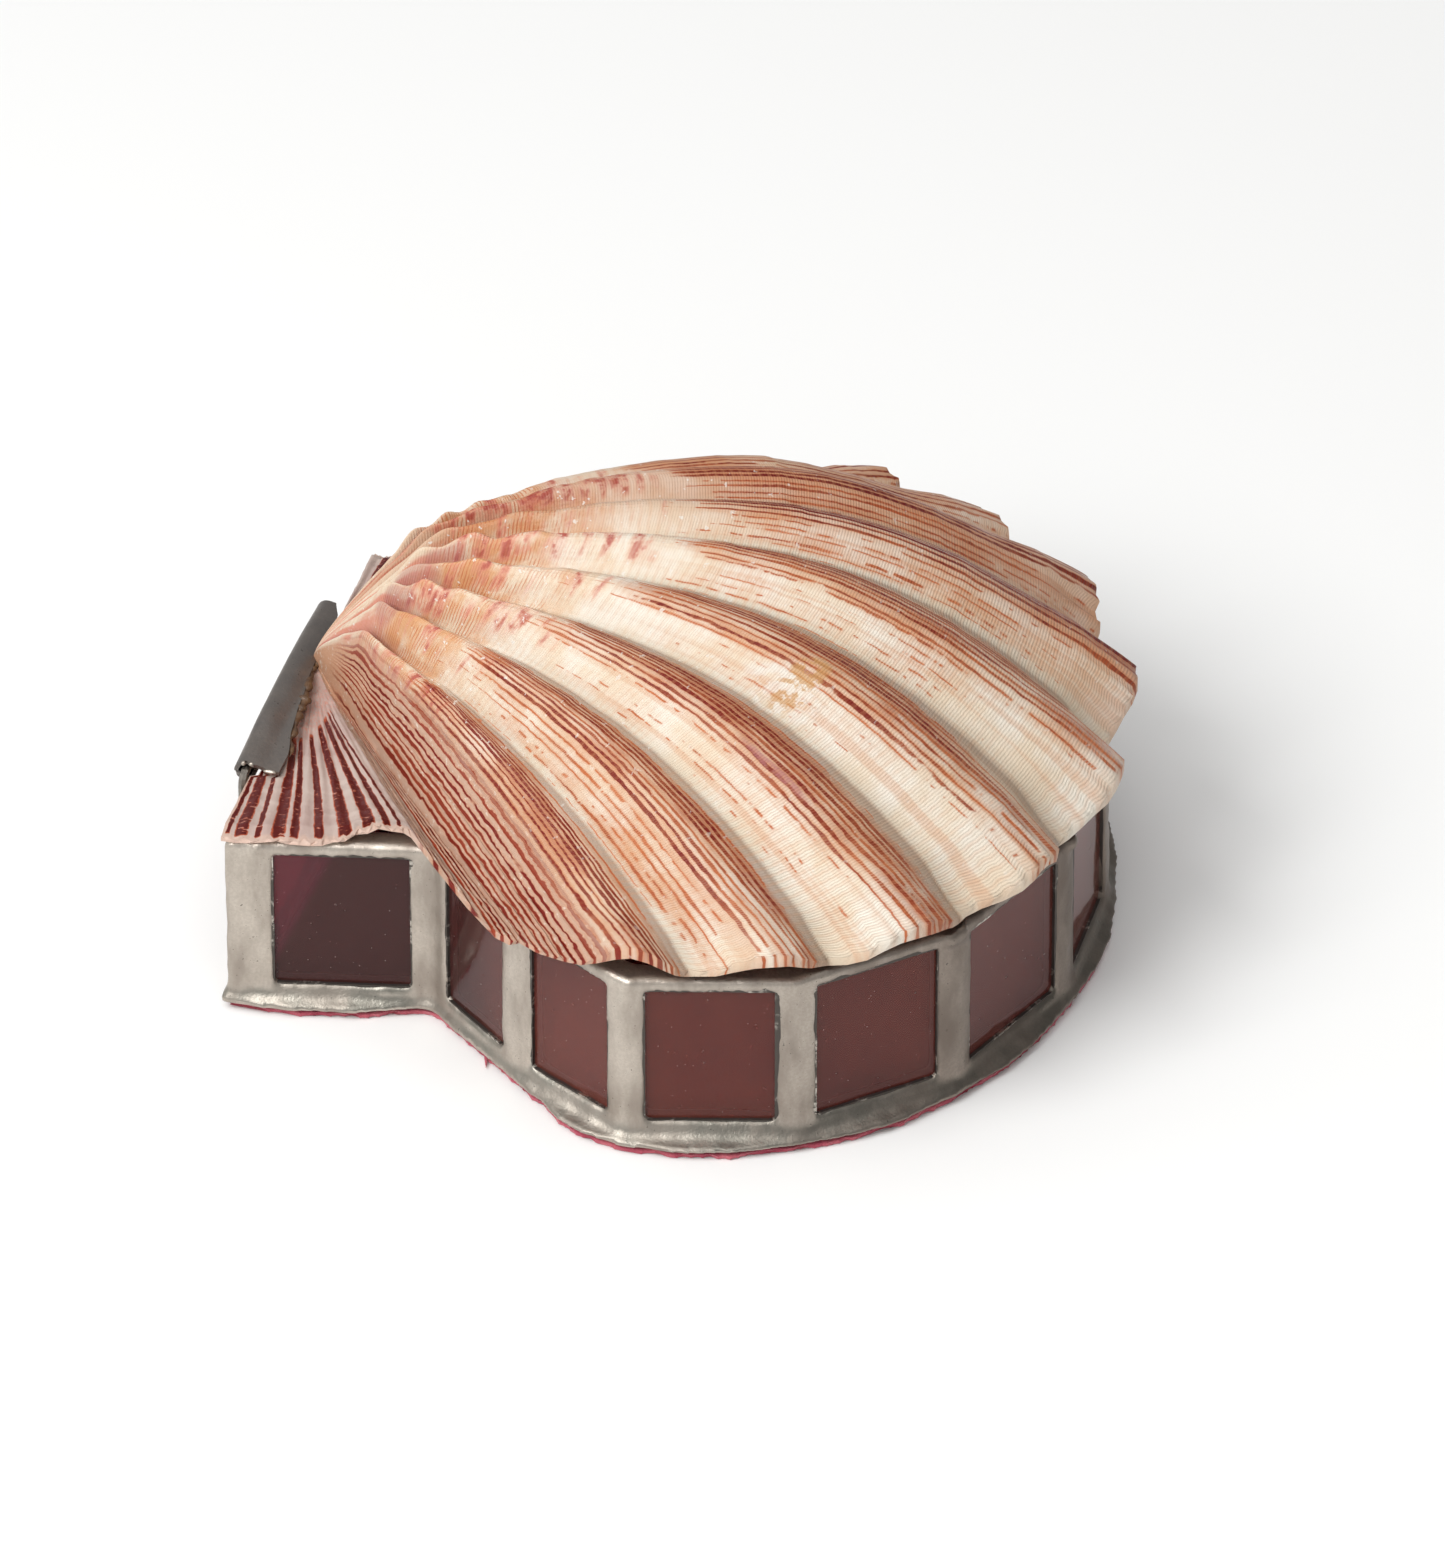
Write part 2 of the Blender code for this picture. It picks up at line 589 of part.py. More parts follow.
def make_sleeve(hinge, collection, material):
    # The leaf lies on the near ear alone, and the rolled part goes on behind the beak.
    section = sleeve_section()
    barrel_points = len(section) - 2
    stations = (0.0, LEAF_LENGTH, SLEEVE_LENGTH)
    bm = bmesh.new()
    rows = []
    for station in stations:
        rows.append([bm.verts.new((station, y, z)) for y, z in section])
    for number, (first, second) in enumerate(zip(rows, rows[1:])):
        length = len(section) if number == 0 else barrel_points
        for index in range(length - 1):
            bm.faces.new((first[index], first[index + 1], second[index + 1], second[index]))
    loose = [vert for vert in bm.verts if not vert.link_faces]
    bmesh.ops.delete(bm, geom=loose, context="VERTS")
    bmesh.ops.recalc_face_normals(bm, faces=bm.faces)
    item = mesh_object("hinge_sleeve", bm, collection, material, smooth=True)
    thick = item.modifiers.new("sheet", "SOLIDIFY")
    thick.thickness = SLEEVE_WALL
    thick.offset = 0.0
    thick.use_even_offset = True
    item.parent = hinge
    item.location = (NEAR_TIP_X + SLEEVE_START, 0.0, 0.0)
    return item


def main():
    clear_scene()
    collection = make_collection("glass_trinket_box")
    cutters = make_collection("cutters")
    shell_finish = make_material("shell", (0.83, 0.66, 0.54), 0.45)
    solder_finish = make_material("solder", (0.45, 0.43, 0.40), 0.38, metallic=1.0)
    glass_finish = make_material("plum_glass", (0.16, 0.05, 0.05), 0.05, transmission=0.9)
    base_finish = make_material("base_glass", (0.16, 0.05, 0.05), 0.08, transmission=0.9)
    felt_finish = make_material("felt", (0.45, 0.07, 0.12), 0.95)
    sleeve_finish = make_material("sheet_metal", (0.22, 0.22, 0.22), 0.4, metallic=1.0)
    wire_finish = make_material("wire", (0.30, 0.28, 0.25), 0.35, metallic=1.0)

    corners = wall_corners()
    frames = wall_frames(corners)
    felt_outline = outline_at(corners, 1.0, -FELT_INSET)
    base_outline = outline_at(corners, 0.0, -BASE_INSET)
    flat_plate("felt_pad", felt_outline, 0.0, FELT_THICKNESS, collection, felt_finish)
    flat_plate("base_glass", base_outline, BASE_BOTTOM, BASE_GLASS_THICKNESS, collection, base_finish)
    make_lattice(corners, frames, collection, cutters, solder_finish)
    names = ["pane_ear_near"] + [f"pane_fan_{number:02d}" for number in range(1, len(frames) - 2)]
    names += ["pane_ear_far", "pane_back"]
    for name, frame in zip(names, frames):
        make_pane(name, frame, collection, glass_finish)

    hinge = bpy.data.objects.new("lid_hinge", None)
    hinge.location = (0.0, HINGE_Y, HINGE_Z)
    collection.objects.link(hinge)
    shell = make_shell(collection, shell_finish)
    shell.parent = hinge
    shell.matrix_parent_inverse = Matrix.Translation(hinge.location).inverted()
    make_sleeve(hinge, collection, sleeve_finish)
    make_wire(collection, wire_finish)


main()
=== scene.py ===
import json
import math
import bmesh
import bpy
import numpy as np
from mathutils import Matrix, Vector


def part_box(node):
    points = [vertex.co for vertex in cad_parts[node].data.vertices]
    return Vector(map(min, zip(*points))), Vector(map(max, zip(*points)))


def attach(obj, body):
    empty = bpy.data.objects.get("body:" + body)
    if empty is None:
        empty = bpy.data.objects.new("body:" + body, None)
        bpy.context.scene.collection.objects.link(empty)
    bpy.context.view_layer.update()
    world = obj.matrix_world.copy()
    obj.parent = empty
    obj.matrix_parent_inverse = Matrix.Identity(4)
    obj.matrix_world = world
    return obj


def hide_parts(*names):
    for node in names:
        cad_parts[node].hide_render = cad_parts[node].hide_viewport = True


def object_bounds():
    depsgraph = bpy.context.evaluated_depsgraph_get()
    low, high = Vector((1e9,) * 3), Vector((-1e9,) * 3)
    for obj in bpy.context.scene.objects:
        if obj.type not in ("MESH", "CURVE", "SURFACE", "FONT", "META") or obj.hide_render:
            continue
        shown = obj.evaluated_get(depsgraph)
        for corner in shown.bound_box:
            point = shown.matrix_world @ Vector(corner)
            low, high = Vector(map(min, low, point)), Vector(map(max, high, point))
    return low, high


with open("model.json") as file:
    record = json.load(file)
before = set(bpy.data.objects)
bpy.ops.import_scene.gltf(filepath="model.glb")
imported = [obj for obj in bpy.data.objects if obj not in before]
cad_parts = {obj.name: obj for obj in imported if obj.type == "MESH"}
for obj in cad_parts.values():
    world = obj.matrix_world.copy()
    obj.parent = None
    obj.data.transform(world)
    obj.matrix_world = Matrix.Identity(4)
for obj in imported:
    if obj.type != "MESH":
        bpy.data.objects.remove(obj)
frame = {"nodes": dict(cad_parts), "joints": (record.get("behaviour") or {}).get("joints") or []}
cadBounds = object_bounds()
mm = 0.001
cadMergeGap = 0.005     # in millimetres
bpy.ops.object.select_all(action="DESELECT")
hinge = Vector(frame["joints"][0]["pos_m"]) / mm     # middle of the hinge axis, in millimetres


# Small helpers

def smoothStep(low, high, value):
    share = np.clip((value - low) / (high - low), 0.0, 1.0)
    return share * share * (3 - 2 * share)


def softNoise(x, y, seed):
    # smooth noise from -1 to 1 over a plane, the same on every run
    table = np.random.default_rng(seed).uniform(-1, 1, (128, 128))
    left, low = np.floor(x).astype(int), np.floor(y).astype(int)
    across, up = smoothStep(0, 1, x - left), smoothStep(0, 1, y - low)
    corner = [[table[(left + i) % 128, (low + j) % 128] for j in (0, 1)] for i in (0, 1)]
    lower = corner[0][0] * (1 - across) + corner[1][0] * across
    upper = corner[0][1] * (1 - across) + corner[1][1] * across
    return lower * (1 - up) + upper * up


def spaceNoise(points, size, seed):
    # smooth noise over space, with lumps of about that size
    x, y, z = (points / size).T
    return (softNoise(x, y, seed) + softNoise(y + 17, z, seed + 1) + softNoise(z + 31, x, seed + 2)) / 1.7


def getPoints(mesh):
    points = np.empty(len(mesh.vertices) * 3)
    mesh.vertices.foreach_get("co", points)
    return points.reshape(-1, 3)


def setPoints(mesh, points):
    mesh.vertices.foreach_set("co", points.astype(np.float32).ravel())
    mesh.update()


def getNormals(mesh):
    normals = np.empty(len(mesh.vertices) * 3)
    mesh.vertex_normals.foreach_get("vector", normals)
    return normals.reshape(-1, 3)


def selectOnly(piece):
    bpy.ops.object.select_all(action="DESELECT")
    piece.select_set(True)
    bpy.context.view_layer.objects.active = piece


def applyModifier(piece, kind, **settings):
    selectOnly(piece)
    modifier = piece.modifiers.new(kind, kind)
    for name, value in settings.items():
        setattr(modifier, name, value)
    bpy.ops.object.modifier_apply(modifier=modifier.name)


def smoothShade(piece, degrees):
    selectOnly(piece)
    bpy.ops.object.shade_smooth_by_angle(angle=math.radians(degrees))
    piece.select_set(False)


def mergeDoubles(mesh, gap):
    bm = bmesh.new()
    bm.from_mesh(mesh)
    bmesh.ops.remove_doubles(bm, verts=bm.verts, dist=gap * mm)
    bm.to_mesh(mesh)
    bm.free()


def mergedCopy(node, name):
    # a copy of a CAD node with its loose triangles joined
    piece = frame["nodes"][node].copy()
    piece.data = piece.data.copy()
    piece.name = piece.data.name = name
    piece.parent = None
    for key in list(piece.keys()):
        del piece[key]
    piece.data.materials.clear()
    bpy.context.scene.collection.objects.link(piece)
    mergeDoubles(piece.data, cadMergeGap)
    return piece


def addGrid(points):
    # a grid bent to rows of points, in metres
    rows, columns = points.shape[0] - 1, points.shape[1] - 1
    bpy.ops.mesh.primitive_grid_add(x_subdivisions=columns, y_subdivisions=rows, size=1)
    grid = bpy.context.object
    setPoints(grid.data, points.reshape(-1, 3))
    return grid


def joinParts(piece, parts):
    bpy.ops.object.select_all(action="DESELECT")
    for part in parts:
        part.select_set(True)
    bpy.context.view_layer.objects.active = piece
    bpy.ops.object.join()


def refinish(node, material):
    # a CAD node keeps its shape and gets a better material
    for place in node.material_slots:
        place.link = "OBJECT"
        place.material = material


def settle(piece, body, slot, material, *replaced):
    # gives a finished piece its finish and its body, and hides the CAD nodes that it stands for
    if material:
        piece.data.materials.clear()
        piece.data.materials.append(material)
    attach(piece, body)
    if replaced:
        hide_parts(*replaced)
    print(f"{piece.name}: {len(piece.data.polygons)} faces")


# Helpers for materials. New nodes go into the tree that was opened last

opened = {}


def feed(socket, value):
    if isinstance(value, bpy.types.NodeSocket):
        socket.id_data.links.new(value, socket)
    else:
        socket.default_value = value


def addNode(kind, inputs=None, **settings):
    node = opened["tree"].nodes.new(kind)
    for name, value in settings.items():
        setattr(node, name, value)
    for name, value in (inputs or {}).items():
        feed(node.inputs[name], value)
    return node


def calc(operation, *values):
    node = addNode("ShaderNodeMath", operation=operation)
    for socket, value in zip(node.inputs, values):
        feed(socket, value)
    return node.outputs[0]


def plus(first, second):
    return calc("ADD", first, second)


def minus(first, second):
    return calc("SUBTRACT", first, second)


def larger(first, second):
    return calc("MAXIMUM", first, second)


def scaleAdd(value, factor, added):
    return calc("MULTIPLY_ADD", value, factor, added)


def product(first, *others):
    for value in others:
        first = calc("MULTIPLY", first, value)
    return first


def fade(value, low, high, start=0.0, end=1.0):
    # a smooth step from start to end while the value goes from low to high
    node = addNode("ShaderNodeMapRange", interpolation_type="SMOOTHSTEP")
    for name, number in zip(("Value", "From Min", "From Max", "To Min", "To Max"),
                            (value, low, high, start, end)):
        feed(node.inputs[name], number)
    return node.outputs["Result"]


def blendColour(share, first, second, mode="MIX"):
    node = addNode("ShaderNodeMix", data_type="RGBA", blend_type=mode)
    for socket, value in zip((node.inputs[0], node.inputs[6], node.inputs[7]), (share, first, second)):
        feed(socket, value)
    return node.outputs[2]


def layered(ground, *layers):
    # colours laid over the ground one by one, each with the share that it covers
    for share, colour in layers:
        ground = blendColour(share, ground, colour)
    return ground


def noiseOf(vector, scale, detail=2.0, rough=0.5):
    return addNode("ShaderNodeTexNoise",
                   {"Vector": vector, "Scale": scale, "Detail": detail, "Roughness": rough}).outputs["Fac"]


def joinVector(x, y, z=0.0):
    return addNode("ShaderNodeCombineXYZ", {"X": x, "Y": y, "Z": z}).outputs[0]


def splitVector(vector):
    return addNode("ShaderNodeSeparateXYZ", {"Vector": vector}).outputs


def uvParts(name):
    return splitVector(addNode("ShaderNodeUVMap", uv_map=name).outputs[0])


def objectPlace():
    return addNode("ShaderNodeTexCoord").outputs["Object"]


def dotWith(vector, direction):
    return addNode("ShaderNodeVectorMath", {0: vector, 1: direction},
                   operation="DOT_PRODUCT").outputs["Value"]


def newMaterial(name, **values):
    material = bpy.data.materials.new(name)
    material.use_nodes = True
    opened["tree"] = material.node_tree
    shader = material.node_tree.nodes["Principled BSDF"]
    for key, value in values.items():
        shader.inputs[key.replace("_", " ")].default_value = value
    return material, shader


def finishShader(shader, colour, gloss=None, bump=None):
    # bump is its height, its strength and its distance
    feed(shader.inputs["Base Color"], colour)
    if gloss is not None:
        feed(shader.inputs["Roughness"], gloss)
    if bump:
        inputs = dict(zip(("Height", "Strength", "Distance"), bump))
        feed(shader.inputs["Normal"], addNode("ShaderNodeBump", inputs).outputs[0])


def newGroup(name, inputs, outputs):
    # inputs are names with values, outputs are names, and all of them are numbers
    group = bpy.data.node_groups.new(name, "ShaderNodeTree")
    opened["tree"] = group
    for label, value in inputs.items():
        socket = group.interface.new_socket(label, in_out="INPUT", socket_type="NodeSocketFloat")
        socket.default_value = value
    for label in outputs:
        group.interface.new_socket(label, in_out="OUTPUT", socket_type="NodeSocketFloat")
    return group, group.nodes.new("NodeGroupInput").outputs, group.nodes.new("NodeGroupOutput").inputs


def useGroup(group, **values):
    node = addNode("ShaderNodeGroup", node_tree=group)
    for name, value in values.items():
        feed(node.inputs[name], value)
    return node.outputs


def makeMottleGroup():
    # soft uneven patches and fine specks, from 0 to 1, for any surface that has been handled
    group, given, out = newGroup(
        "unevenness", {"patchScale": 100.0, "speckScale": 1500.0, "speckLevel": 0.7, "upright": 1.0},
        ("patches", "specks", "grain"))
    place = objectPlace()
    drawn = addNode("ShaderNodeVectorMath", {0: place, 1: joinVector(1.0, 1.0, given["upright"])},
                    operation="MULTIPLY").outputs[0]
    grain = noiseOf(place, given["speckScale"], 3.0, 0.6)
    feed(out["patches"], fade(noiseOf(drawn, given["patchScale"], 4.0, 0.6), 0.3, 0.7))
    feed(out["grain"], grain)
    feed(out["specks"], fade(grain, given["speckLevel"], plus(given["speckLevel"], 0.06)))
    return group


unevenness = makeMottleGroup()


# The scallop valve. Directions are angles round the umbo, from -90 degrees at the near ear to 90 at the
# far one, and t runs from 0 at the umbo to 1 at the margin.

valve = {
    "umboX": -4.7, "umboInset": 1.95, "planShift": -3.202,
    "discCentreY": -1.0, "discHalfWidth": 57.9, "discHalfDepth": 54.6,
    "nearEarLength": 39.3, "farEarLength": 29.1, "earThickness": 1.7,
    "nearNotchAngle": -53.0, "nearNotchReach": 41.6, "nearShoulderAngle": -50.4,
    "farNotchAngle": 58.8, "farNotchReach": 33.0, "farShoulderAngle": 56.6,
    "flatAngle": 36.0, "flatSpread": 14.0, "flatShare": 0.022,
    "marginThickness": 1.1, "wallThickness": 2.3, "marginThinShare": 0.25, "marginLift": 0.2,
    "domeHeight": 29.1, "peakShare": 0.47, "risePower": 0.72, "fallPower": 1.3,
    "umboPower": 0.45, "marginPower": 1.1, "edgeAngle": -2.4, "edgeShare": 0.25,
    "beakShare": 0.12, "beakLift": 1.6,
    "ribHeight": 3.2, "marginRibHeight": 2.4, "fullShare": 0.35, "fallShare": 0.5,
    "ribPitch": 11.4, "ribAxis": 1.8, "ribSpread": 0.0061, "ribsEachSide": 4, "crestPower": 0.75,
    "fadeStart": 0.1, "fadeLength": 0.6, "shareInside": 0.6, "lobeShare": 0.010,
    "columns": 560, "rows": 140, "rowPower": 1.15, "insideColumns": 140, "insideRows": 40,
    "mergeGap": 0.002, "earColumnShare": 0.11, "columnEdges": (-90, -54, 60, 90),
}
umbo = Vector((valve["umboX"], hinge.y - valve["umboInset"]))
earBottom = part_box("shell_lid")[0].z / mm
earTop = earBottom + valve["earThickness"]


def ribNumber(angle):
    steps = (angle - valve["ribAxis"]) / valve["ribPitch"]
    return steps + valve["ribSpread"] * steps ** 3


def ribWave(angle):
    return (0.5 + 0.5 * np.cos(2 * np.pi * ribNumber(angle))) ** valve["crestPower"]


def ribFade(angle):
    past = np.abs(ribNumber(angle)) - valve["ribsEachSide"] - valve["fadeStart"]
    return np.clip(1 - past / valve["fadeLength"], 0, 1)


def ribRise(t):
    grown = np.sin(np.pi / 2 * np.minimum(1, t / valve["fullShare"]))
    fallen = np.maximum(0, (t - valve["fallShare"]) / (1 - valve["fallShare"]))
    return grown * (valve["ribHeight"] + (valve["marginRibHeight"] - valve["ribHeight"]) * fallen)


def ellipseReach(angle):
    turn = np.radians(angle)
    startX = umbo.x / valve["discHalfWidth"]
    startY = (umbo.y - valve["planShift"] - valve["discCentreY"]) / valve["discHalfDepth"]
    rayX, rayY = np.sin(turn) / valve["discHalfWidth"], -np.cos(turn) / valve["discHalfDepth"]
    a, b = rayX ** 2 + rayY ** 2, 2 * (startX * rayX + startY * rayY)
    c = startX ** 2 + startY ** 2 - 1
    flat = np.maximum(0, 1 - ((angle - valve["flatAngle"]) / valve["flatSpread"]) ** 2)
    root = np.sqrt(np.maximum(b * b - 4 * a * c, 0))
    return (-b + root) / (2 * a) * (1 - valve["flatShare"] * flat)


def lineReach(angle, first, second):
    # distance from the umbo to the line through two points, each a direction and a reach
    ends = [np.array([math.sin(math.radians(turn)), -math.cos(math.radians(turn))]) * reach
            for turn, reach in (first, second)]
    along = ends[1] - ends[0]
    rayX, rayY = np.sin(np.radians(angle)), -np.cos(np.radians(angle))
    return (ends[0][0] * along[1] - ends[0][1] * along[0]) / (rayX * along[1] - rayY * along[0])


def marginReach(angle):
    nearTurn, farTurn = valve["nearShoulderAngle"], valve["farShoulderAngle"]
    nearShoulder = (nearTurn, float(ellipseReach(np.array(nearTurn))))
    farShoulder = (farTurn, float(ellipseReach(np.array(farTurn))))
    nearNotch = (valve["nearNotchAngle"], valve["nearNotchReach"])
    farNotch = (valve["farNotchAngle"], valve["farNotchReach"])
    lobes = 1 + valve["lobeShare"] * (2 * ribWave(angle) - 1) * ribFade(angle)
    return np.select(
        [angle <= nearNotch[0], angle < nearTurn, angle <= farTurn, angle < farNotch[0]],
        [lineReach(angle, (-90, valve["nearEarLength"]), nearNotch),
         lineReach(angle, nearNotch, nearShoulder),
         ellipseReach(angle) * lobes,
         lineReach(angle, farShoulder, farNotch)],
        lineReach(angle, farNotch, (90, valve["farEarLength"])))


def domeShare(t):
    rise = np.sin(np.pi / 2 * np.clip(t / valve["peakShare"], 0, 1) ** valve["risePower"])
    past = np.clip((t - valve["peakShare"]) / (1 - valve["peakShare"]), 0, 1)
    return np.where(t < valve["peakShare"], rise, np.cos(np.pi / 2 * past ** valve["fallPower"]))


def discShare(angle, t):
    middle = (valve["nearShoulderAngle"] + valve["farShoulderAngle"]) / 2
    half = (valve["farShoulderAngle"] - valve["nearShoulderAngle"]) / 2 + valve["edgeAngle"]
    power = valve["umboPower"] + (valve["marginPower"] - valve["umboPower"]) * t
    return np.maximum(0, 1 - ((angle - middle) / half) ** 2) ** power


def valveHeights(angle, t):
    # top and underside of the plain form, as the CAD solid has them
    share = discShare(angle, t)
    ribs = ribRise(t) * ribFade(angle)
    fromBeak = np.minimum(1, t / valve["beakShare"])
    lift = valve["beakLift"] * (1 - fromBeak)
    lift = lift + (valve["marginLift"] + ribs / 2) * np.minimum(1, share / valve["edgeShare"]) * fromBeak
    dome = valve["domeHeight"] * share * domeShare(t)
    wave = ribWave(angle) - 0.5
    top = earTop + lift + dome + ribs * wave
    step = 0.01
    before, after = np.maximum(t - step, 0), np.minimum(t + step, 1)
    slope = valve["domeHeight"] * share * (domeShare(after) - domeShare(before))
    slope = slope / ((after - before) * marginReach(angle))
    fromMargin = np.minimum(1, (1 - t) / valve["marginThinShare"])
    wall = valve["marginThickness"] + (valve["wallThickness"] - valve["marginThickness"]) * fromMargin
    depth = wall * np.sqrt(1 + slope ** 2) + (1 - valve["shareInside"]) / 2 * ribs
    underside = earTop + lift + dome + valve["shareInside"] * ribs * wave - depth
    underside = earBottom + np.maximum(underside - earBottom, 0) * fromBeak
    return top, np.where(share <= 0, earBottom, underside)


# What the plain form lacks. Heights are in millimetres.
relief = {
    "growthSteps": (0.21, 0.29, 0.36, 0.43, 0.52, 0.60, 0.665, 0.73, 0.80, 0.87, 0.94),
    "stepHeight": 0.26, "stepWidth": 0.012, "settled": 0.40,
    "ribletsPerRib": 16, "ribletHeight": 0.07,
    "shoulderStart": 4.25, "shoulderRiblets": 13, "shoulderRibletHeight": 0.24,
    "earRidgeDegrees": 3.9, "earRidgeHeight": 0.16,
    # each knob: rib number, t, half width in ribs, half length in t, height
    "knobs": ((-3.05, 0.150, 0.34, 0.022, 1.9), (-3.2, 0.232, 0.34, 0.026, 1.5),
              (-4.1, 0.165, 0.34, 0.024, 1.3), (-2.17, 0.126, 0.38, 0.026, 2.8),
              (-1.95, 0.190, 0.34, 0.024, 1.9), (-2.1, 0.245, 0.34, 0.026, 1.5),
              (-1.15, 0.140, 0.32, 0.028, 1.9), (-1.0, 0.225, 0.34, 0.026, 1.4),
              (-0.1, 0.135, 0.34, 0.024, 2.3),
              (0.0, 0.200, 0.36, 0.026, 1.8), (0.0, 0.275, 0.32, 0.030, 1.2),
              (1.0, 0.160, 0.34, 0.026, 1.5), (1.0, 0.245, 0.34, 0.030, 1.2),
              (2.0, 0.150, 0.36, 0.024, 1.6), (2.0, 0.215, 0.34, 0.028, 1.3),
              (3.0, 0.148, 0.38, 0.020, 2.2), (3.0, 0.195, 0.36, 0.018, 1.9), (3.0, 0.240, 0.36, 0.020, 1.6),
              (3.9, 0.180, 0.34, 0.030, 1.3), (3.9, 0.260, 0.34, 0.030, 1.0)),
    # the near ear's edge stands off the rim beside the notch
    "earLiftAngle": -58.0, "earLiftSpread": 7.0, "earLiftStart": 0.6, "earLift": 1.7, "earBite": 2.1,
    # the crests arch up at the margin and the furrows cut into it
    "archHeight": 2.3, "archStart": 0.84, "archPower": 1.4, "furrowCut": 2.0,
    # sharper ridges round the umbo
    "ridgeHeight": 2.1, "ridgeMiddle": 0.16, "ridgeSpread": 0.12, "knobShare": 0.72, "knotHeight": 0.26,
    # the beak is fuller than the plain form
    "swellHeight": 1.9, "swellMiddle": 0.13, "swellSpread": 0.09, "farLift": 1.3,
    # chips in the margin: angle, half width in degrees, depth
    "chips": ((-47.5, 0.9, 1.3), (-41.0, 0.6, 0.6), (-8.0, 0.5, 0.5), (21.5, 0.7, 0.8), (34.5, 1.1, 1.0),
              (44.5, 0.8, 1.5), (52.0, 0.7, 0.8)),
    "chipStart": 0.91, "earTaper": 0.8,
    # the near ear's back edge swells out past the sleeve's end
    "earBack": 1.1, "earBackFrom": (0.640, 0.655), "earBackAngles": (-78.0, -90.0),
}


def valveRelief(angle, t):
    # height to add to the top, for ribs, growth steps, knobs and the lifted ear
    number = ribNumber(angle)
    inDisc = ribFade(angle)
    added = np.zeros_like(number * t)
    wander = t + 0.006 * softNoise(number * 1.3 + 40, t * 9, 5) + 0.0025 * softNoise(number * 7, t * 30, 6)
    starts = (0.0,) + relief["growthSteps"]
    for index, place in enumerate(relief["growthSteps"]):
        climb = np.clip((wander - starts[index]) / (place - starts[index]), 0, 1) ** 2
        drop = 1 - smoothStep(place - relief["stepWidth"] / 2, place + relief["stepWidth"] / 2, wander)
        strength = 0.55 + 0.45 * softNoise(number * 0.7 + index * 9, t * 0 + index, 7)
        added += relief["stepHeight"] * strength * climb * drop * smoothStep(0.1, 0.2, t)
    grown = smoothStep(0.12, 0.35, t)
    added += relief["ribletHeight"] * np.cos(2 * np.pi * relief["ribletsPerRib"] * number) * inDisc * grown
    nearShoulder = smoothStep(relief["shoulderStart"] - 0.3, relief["shoulderStart"] + 0.1, -number)
    nearShoulder *= 1 - smoothStep(5.3, 5.5, -number)
    farShoulder = smoothStep(relief["shoulderStart"] - 0.1, relief["shoulderStart"] + 0.3, number)
    riblets = np.cos(2 * np.pi * relief["shoulderRiblets"] * number)
    added += relief["shoulderRibletHeight"] * riblets * np.maximum(nearShoulder, 0.6 * farShoulder) * grown
    nearEar = smoothStep(5.5, 5.8, -number)
    farEar = smoothStep(5.2, 5.6, number)
    ridges = np.cos(2 * np.pi * angle / relief["earRidgeDegrees"] + 1.2 * softNoise(number * 2, t * 3, 8))
    added += relief["earRidgeHeight"] * ridges * np.maximum(nearEar, farEar) * smoothStep(0.1, 0.5, t)
    for rib, place, halfWidth, halfLength, height in relief["knobs"]:
        spread = ((number - rib) / halfWidth) ** 2 + ((t - place) / halfLength) ** 2
        added += relief["knobShare"] * height * np.exp(-spread * 1.2)
    added += 0.12 * softNoise(number * 1.7, t * 11, 9) * grown
    added += 0.03 * softNoise(number * 9, t * 80, 10) * grown
    young = smoothStep(0.06, 0.12, t) * (1 - smoothStep(0.28, 0.42, t)) * inDisc
    added += relief["knotHeight"] * softNoise(number * 3.5, t * 44, 12) * young
    swell = np.exp(-((t - relief["swellMiddle"]) / relief["swellSpread"]) ** 2)
    rounded = discShare(angle, t) ** 0.35
    added += relief["swellHeight"] * swell * rounded
    far = smoothStep(0.8, 2.4, number) * smoothStep(0.15, 0.35, t) * (1 - smoothStep(0.60, 0.85, t))
    added += relief["farLift"] * far * rounded
    added -= relief["settled"] * smoothStep(0.1, 0.3, t)
    ridges = np.exp(-((t - relief["ridgeMiddle"]) / relief["ridgeSpread"]) ** 2)
    ridges *= smoothStep(0.03, 0.15, t)
    added += relief["ridgeHeight"] * ridges * (ribWave(angle) ** 1.2 - 0.5) * inDisc
    added -= relief["earTaper"] * np.maximum(nearEar, farEar) * smoothStep(0.93, 1.0, t)
    ear = np.exp(-((angle - relief["earLiftAngle"]) / relief["earLiftSpread"]) ** 2)
    lift = relief["earLift"] * ear * smoothStep(relief["earLiftStart"], 1.0, t)
    arch = ribWave(angle) ** relief["archPower"] * inDisc
    lift = lift + relief["archHeight"] * arch * smoothStep(relief["archStart"], 1.0, t)
    return added, lift


def marginWear(angle):
    # how far the margin falls short of its line: fine scallops, unevenness and chips
    number = ribNumber(angle)
    short = 0.30 * (1 + np.cos(2 * np.pi * 8 * number)) + 0.45 * softNoise(number * 5, number * 0 + 3, 11)
    short += relief["furrowCut"] * (1 - ribWave(angle)) ** 2 * ribFade(angle)
    ear = (angle - relief["earLiftAngle"]) / relief["earLiftSpread"]
    short += relief["earBite"] * np.exp(-ear ** 2)
    for place, halfWidth, depth in relief["chips"]:
        short += depth * smoothStep(halfWidth, halfWidth * 0.4, np.abs(angle - place))
    return np.maximum(short, 0)


